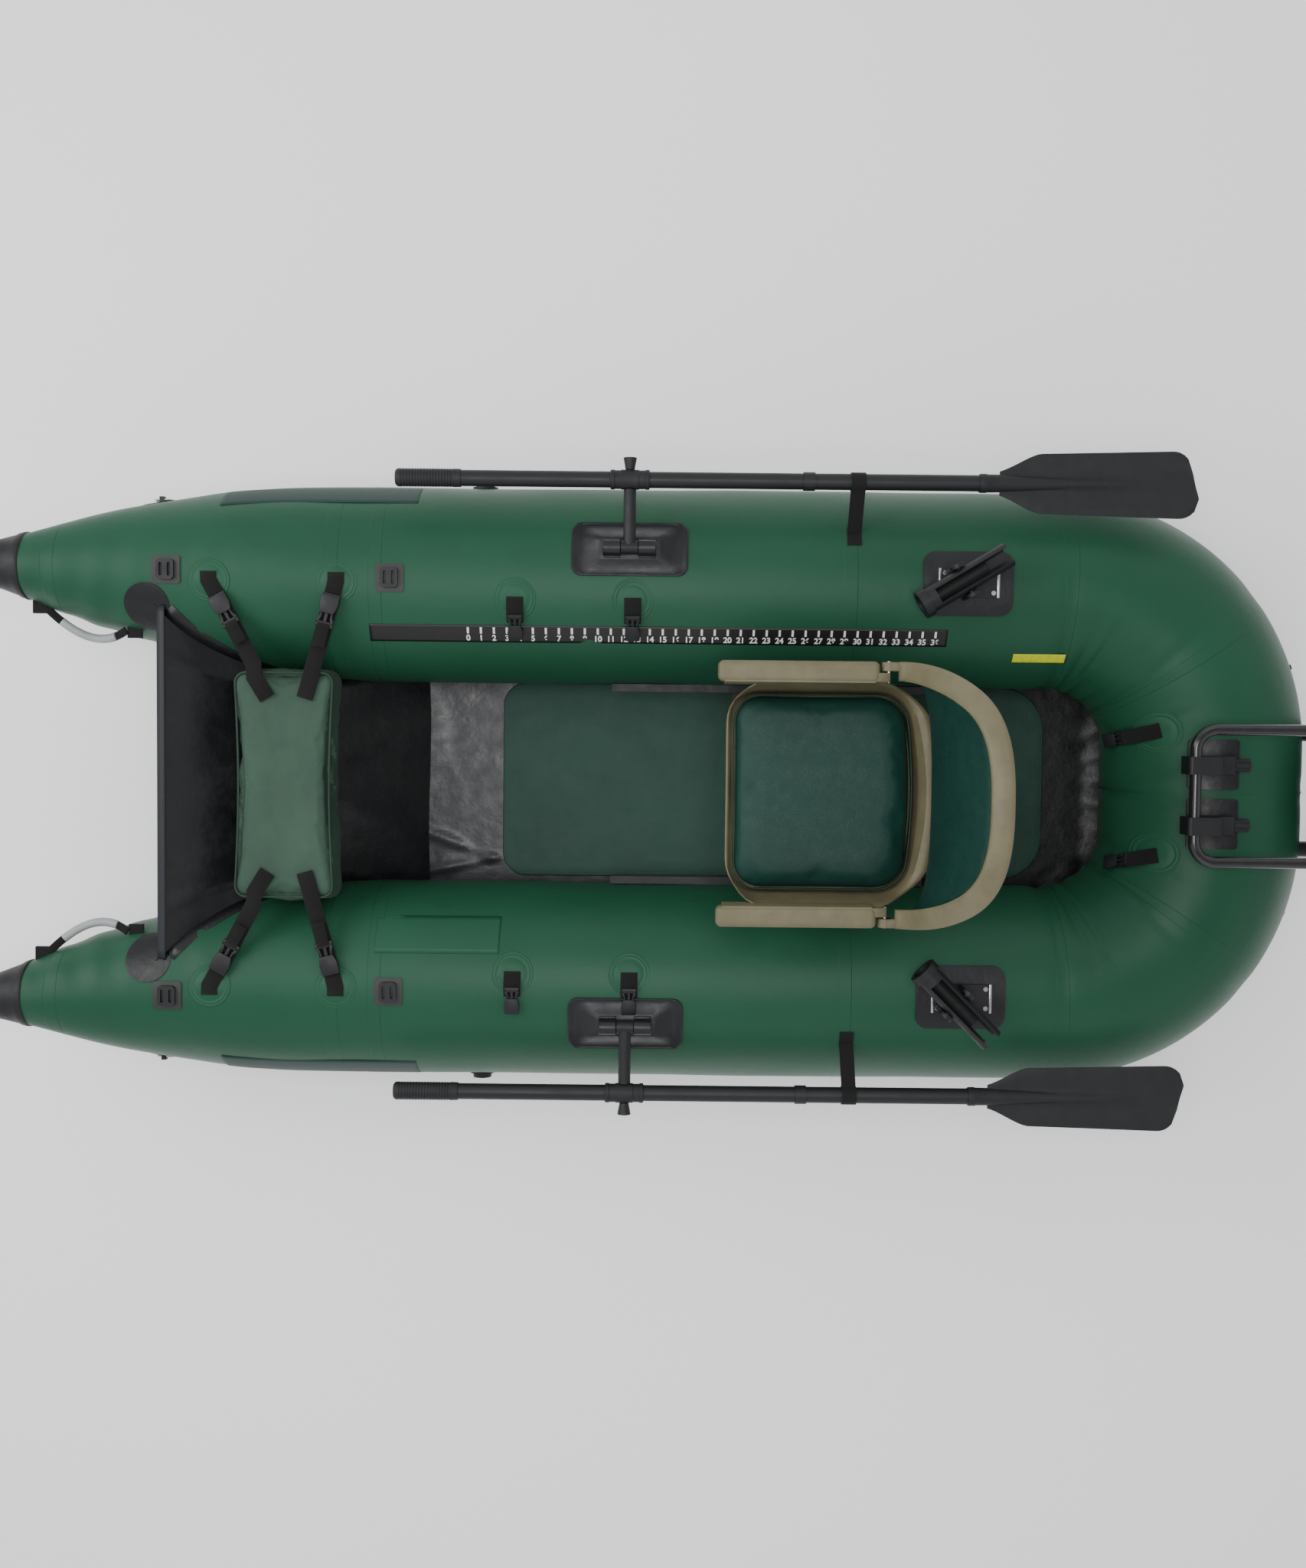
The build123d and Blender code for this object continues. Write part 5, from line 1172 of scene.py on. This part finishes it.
def oarlock_pad(side_name):
    """Moulded pad: raised border, sides that slope up to a small deck, and two hinge hubs."""
    side = SIDES[side_name]
    x, y, axis_z = -0.050, 0.464, 0.422
    deck = 0.4045
    ring = rounded_outline(0.113, 0.0525, 0.020, 8, 8)

    profile = [(1.0, -0.001), (1.0, 0.0030), (0.988, 0.0042), (0.945, 0.0042), (0.925, 0.0026), (0.86, 0.0024)]
    verts, uvs = [], []
    for scale, height in profile:
        for u, v in ring:
            verts.append(on_skin(x + u * scale, y + v * scale, height, side))
            uvs.append((u * scale, v * scale))
    for scale, share in ((0.80, 0.06), (0.70, 0.42), (0.60, 0.74), (0.54, 0.93), (0.50, 1.0), (0.2, 1.0)):
        for u, v in ring:
            a, b = u * scale, v * scale * (1 - 0.25 * share)
            base = on_skin(x + a, y + b, 0.0024, 1.0)
            verts.append((x + a, (y + b) * side, base.z + (deck - base.z) * share))
            uvs.append((a, b))
    faces = grid_faces(12, len(ring), closed=True) + [cap(11, len(ring))]
    pad = new_piece(f"{side_name}_oarlock_pad", verts, faces, "pad_pvc", "hull", uvs=uvs,
                    replaces=["oarlock_pads"])
    face_out(pad).data.set_sharp_from_angle(angle=0.7)
    for index, way in enumerate((-1, 1)):
        hub = Kit(Matrix.Translation((x + way * 0.034, y * side, axis_z)))
        hub.lathe([(-0.017, 0.0135), (-0.0158, 0.0150), (0.0158, 0.0150), (0.017, 0.0135), (0.017, 0.0060),
                   (0.0155, 0.0055)])
        hub.block(-0.0165, 0.0165, 0.0150, deck - axis_z - 0.002, -0.001, 0.0015)
        hub.block(-0.0165, 0.0165, 0.0185, deck - axis_z - 0.003, deck - axis_z + 0.005)
        hub.piece(f"{side_name}_oarlock_hub_{index}", "pad_pvc", "hull", slot="black_plastic",
                  replaces=["oarlock_pads"])


def bracket_trim(side_name):
    """Bright folded ends of the rod holder's plate."""
    side = SIDES[side_name]
    for index, way in enumerate((-1, 1)):
        trim = Kit(Matrix.Translation((0.6065 + way * 0.0565, PONTOON_Y * side, CREST + 0.0045)))
        trim.plate(rounded_outline(0.0026, 0.0285, 0.0012, 3, 2), 0.0, 0.0062, 0.0008)
        trim.piece(f"{side_name}_bracket_trim_{index}", "steel", "hull")


def apron_flange(side_name):
    """Black strip that welds the apron's edge to the bow cone."""
    side = SIDES[side_name]
    points, ups = [], []
    for k in range(31):
        t = 0.10 + 0.86 * k / 30
        edge = apron_point(t, 1.0)
        s, _ = path_place(edge.x, PONTOON_Y)
        centre, _, radius = station(s)
        angle = math.pi - math.asin(max(-1.0, min(1.0, (edge.z - centre.z) / radius))) - 0.016 / radius
        skin, above = tube_point(s, angle, 0.0009), tube_point(s, angle, 0.011)
        points.append(mirrored(skin, side))
        ups.append(mirrored(above - skin, side).normalized())
    ribbon(f"{side_name}_apron_flange", points, ups, 0.034, 0.0014, "black_pvc", "hull")


# ---- printed strip, labels ----
RULE_ANGLE = math.pi / 2 + math.radians(32)
INCH = 0.0254


def strip(name, s_from, s_to, angle_from, angle_to, lift, material, side=1.0, replaces=(), columns=60):
    """Thin film on the skin between two distances along the tube and two angles round it."""
    rows = 8
    verts, uvs = [], []
    for i in range(rows + 1):
        angle = angle_from + (angle_to - angle_from) * i / rows
        for j in range(columns + 1):
            s = s_from + (s_to - s_from) * j / columns
            verts.append(mirrored(tube_point(s, angle, lift), side))
            uvs.append((s, angle * RADIUS))
    piece = new_piece(name, verts, grid_faces(rows + 1, columns + 1), material, "hull",
                      uvs, True, replaces)
    set_all(piece.modifiers.new("solidify", "SOLIDIFY"), thickness=0.0003, offset=-1)
    face_out(piece)


def ruler_marks():
    """White inch ticks and numbers 0 to 36 on the black strip."""
    verts, faces = [], []
    zero = -0.365 - TIP_X

    def place(s, across):
        return tube_point(s, RULE_ANGLE + across / RADIUS, 0.0021)

    for k in range(37):
        s, half_width, top, low = zero + k * INCH, 0.0021, -0.0150, -0.0015
        start = len(verts)
        verts += [place(s - half_width, top), place(s + half_width, top), place(s + half_width, low),
                  place(s - half_width, low)]
        faces.append((start, start + 1, start + 2, start + 3))
        data = bpy.data.curves.new("digits", "FONT")
        set_all(data, body=str(k), size=0.0178, align_x="CENTER", offset=0.0005)
        text = bpy.data.objects.new("digits", data)
        flat = bpy.data.meshes.new_from_object(text)
        start = len(verts)
        verts += [place(zero + k * INCH + v.co.x * 0.92, 0.0140 - v.co.y) for v in flat.vertices]
        faces += [tuple(start + i for i in p.vertices) for p in flat.polygons]
        bpy.data.objects.remove(text)
        bpy.data.curves.remove(data)
        bpy.data.meshes.remove(flat)
    new_piece("ruler_marks", verts, faces, "ink_white", "hull", smooth=False)


def labels():
    """Ruler strip, plain teal labels on the outer flanks, a plain yellow label and a faint blank panel."""
    low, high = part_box("ruler_decal")
    half = math.radians(5.5)
    strip("ruler_strip", low.x - TIP_X, high.x - TIP_X, RULE_ANGLE - half, RULE_ANGLE + half, 0.0008, "printed_vinyl",
          replaces=["ruler_decal"], columns=160)
    ruler_marks()
    for side_name, side in SIDES.items():
        strip(f"{side_name}_flank_label", 0.555, 0.945, math.radians(17), math.radians(40), 0.0012, "teal_film", side)
    strip("yellow_label", 0.708 - TIP_X, 0.813 - TIP_X, math.radians(132), math.radians(138.5), 0.0013,
          "yellow_film")
    strip("port_blank_panel", -0.545 - TIP_X, -0.300 - TIP_X, math.radians(112), math.radians(136), 0.0009,
          "patch_pvc", -1.0)


# ---- carrying handles ----
def handle(side_name):
    """Ribbed grey grip on a webbing strap."""
    side = SIDES[side_name]
    front, rear = Vector((-1.210, 0.3356, 0.330)), Vector((-1.035, 0.2887, 0.330))
    points = []
    droop = math.radians(30)
    for k in range(33):
        t = 0.05 + 0.90 * k / 32
        bow = 0.030 * (1 - (2 * (t - 0.5) / 0.78) ** 2)
        point = front.lerp(rear, t) + Vector((0, -math.cos(droop), -math.sin(droop))) * bow
        points.append(mirrored(point, side))
    core = points[5:28]
    rings = []
    for k, point in enumerate(core):
        along = (core[min(k + 1, len(core) - 1)] - core[max(k - 1, 0)]).normalized()
        across = along.cross(Vector((0, 0, 1))).normalized()
        over = across.cross(along)
        for sub in (0.0, 0.5):
            if k == len(core) - 1 and sub:
                continue
            middle = point if not sub else (point + core[k + 1]) / 2
            radius = 0.0088 if sub else 0.0078
            if k == 0 and not sub or k == len(core) - 1:
                radius = 0.0075
            turns = [2 * math.pi * j / 20 for j in range(20)]
            rings.append([tuple(middle + across * radius * math.cos(a) + over * radius * math.sin(a)) for a in turns])
    kit = Kit().stack(rings)
    kit.piece(f"{side_name}_handle_grip", "grey_sleeve", f"{side_name}_grab_handle",
              replaces=[f"{side_name}_grab_handle"], angle=0.9)
    for label, part in (("front", points[:8]), ("rear", points[25:])):
        ribbon(f"{side_name}_handle_web_{label}", part, Vector((0, 0, 1)), 0.016, 0.003, "webbing",
               f"{side_name}_grab_handle")


paint_cad_nodes()
for side_name in SIDES:
    hull_tube(side_name)
    nose_cap(side_name)
    bag_straps(side_name)
    mid_straps(side_name)
    stern_straps(side_name)
    seat_arm(side_name)
    oar(side_name)
    handle(side_name)
    oarlock_pad(side_name)
    bracket_trim(side_name)
    apron_flange(side_name)
weld_patches()
floor_fabric()
bow_apron()
board_panel()
stowage_bag()
seat_shell()
seat_back()
seat_cushions()
labels()


# ---- ground, light, camera ----
# name, place, aim, size, power
LAMPS = (("overhead", (-0.1, 0.1, 4.3), (-0.1, 0.1, 0), 1.5, 60),
         ("bow window", (-2.9, 0.9, 3.0), (0, 0, 0.2), 2.4, 72),
         ("starboard window", (0.9, 3.0, 3.0), (0, 0, 0.2), 2.6, 10),
         ("port fill", (0.4, -3.2, 2.8), (0, 0, 0.2), 2.6, 8))


def ground_and_light():
    """Pale ground that glows faintly, a studio sky darkest overhead, and four soft lamps."""
    mesh = bpy.data.meshes.new("ground")
    mesh.from_pydata([(x * 150, y * 150, 0) for x, y in ((-1, -1), (1, -1), (1, 1), (-1, 1))], [], [(0, 1, 2, 3)])
    ground = add_object("ground", mesh)
    s = Shader("ground", 0.9, Emission_Strength=0.3)
    s.link(s.ramp(s.noise(0.8), ((0.3, (0.955, 0.955, 0.955)), (0.7, (0.97, 0.97, 0.97)))), "Base Color")
    mesh.materials.append(s.material)
    world = bpy.data.worlds.new("studio")
    world.use_nodes = True
    tree = world.node_tree
    where = tree.nodes.new("ShaderNodeTexCoord")
    split = tree.nodes.new("ShaderNodeSeparateXYZ")
    ramp = tree.nodes.new("ShaderNodeValToRGB")
    ramp.color_ramp.elements.new(0.5)
    for element, (place, grey) in zip(ramp.color_ramp.elements, ((0.0, 0.42), (0.5, 1.0), (0.97, 0.26))):
        element.position = place
        element.color = (grey, grey, grey * 1.02, 1)
    tree.links.new(where.outputs["Generated"], split.inputs["Vector"])
    tree.links.new(split.outputs["Z"], ramp.inputs["Fac"])
    tree.links.new(ramp.outputs["Color"], tree.nodes["Background"].inputs["Color"])
    tree.nodes["Background"].inputs["Strength"].default_value = 1.0
    bpy.context.scene.world = world
    for name, place, aim, size, power in LAMPS:
        data = bpy.data.lights.new(name, "AREA")
        data.size = size
        data.energy = power
        lamp = add_object(name, data)
        lamp.location = place
        lamp.rotation_euler = (Vector(aim) - Vector(place)).to_track_quat("-Z", "Y").to_euler()


def camera():
    """Straight-down view from above the middle of the boat, a little to starboard."""
    data = bpy.data.cameras.new("camera")
    data.lens = 36.5
    data.sensor_width = 36.0
    eye = add_object("camera", data)
    place = Vector((0.0, 0.15, 3.49))
    forward = (Vector((0.0, 0.0, 0.2)) - place).normalized()
    roll = math.radians(0.6)
    right = Vector((math.cos(roll), math.sin(roll), 0))
    right = (right - forward * right.dot(forward)).normalized()
    up = right.cross(forward)
    turn = Matrix((right, up, -forward)).transposed().to_4x4()
    turn.translation = place
    eye.matrix_world = turn
    bpy.context.scene.camera = eye


ground_and_light()
camera()
bpy.context.view_layer.update()
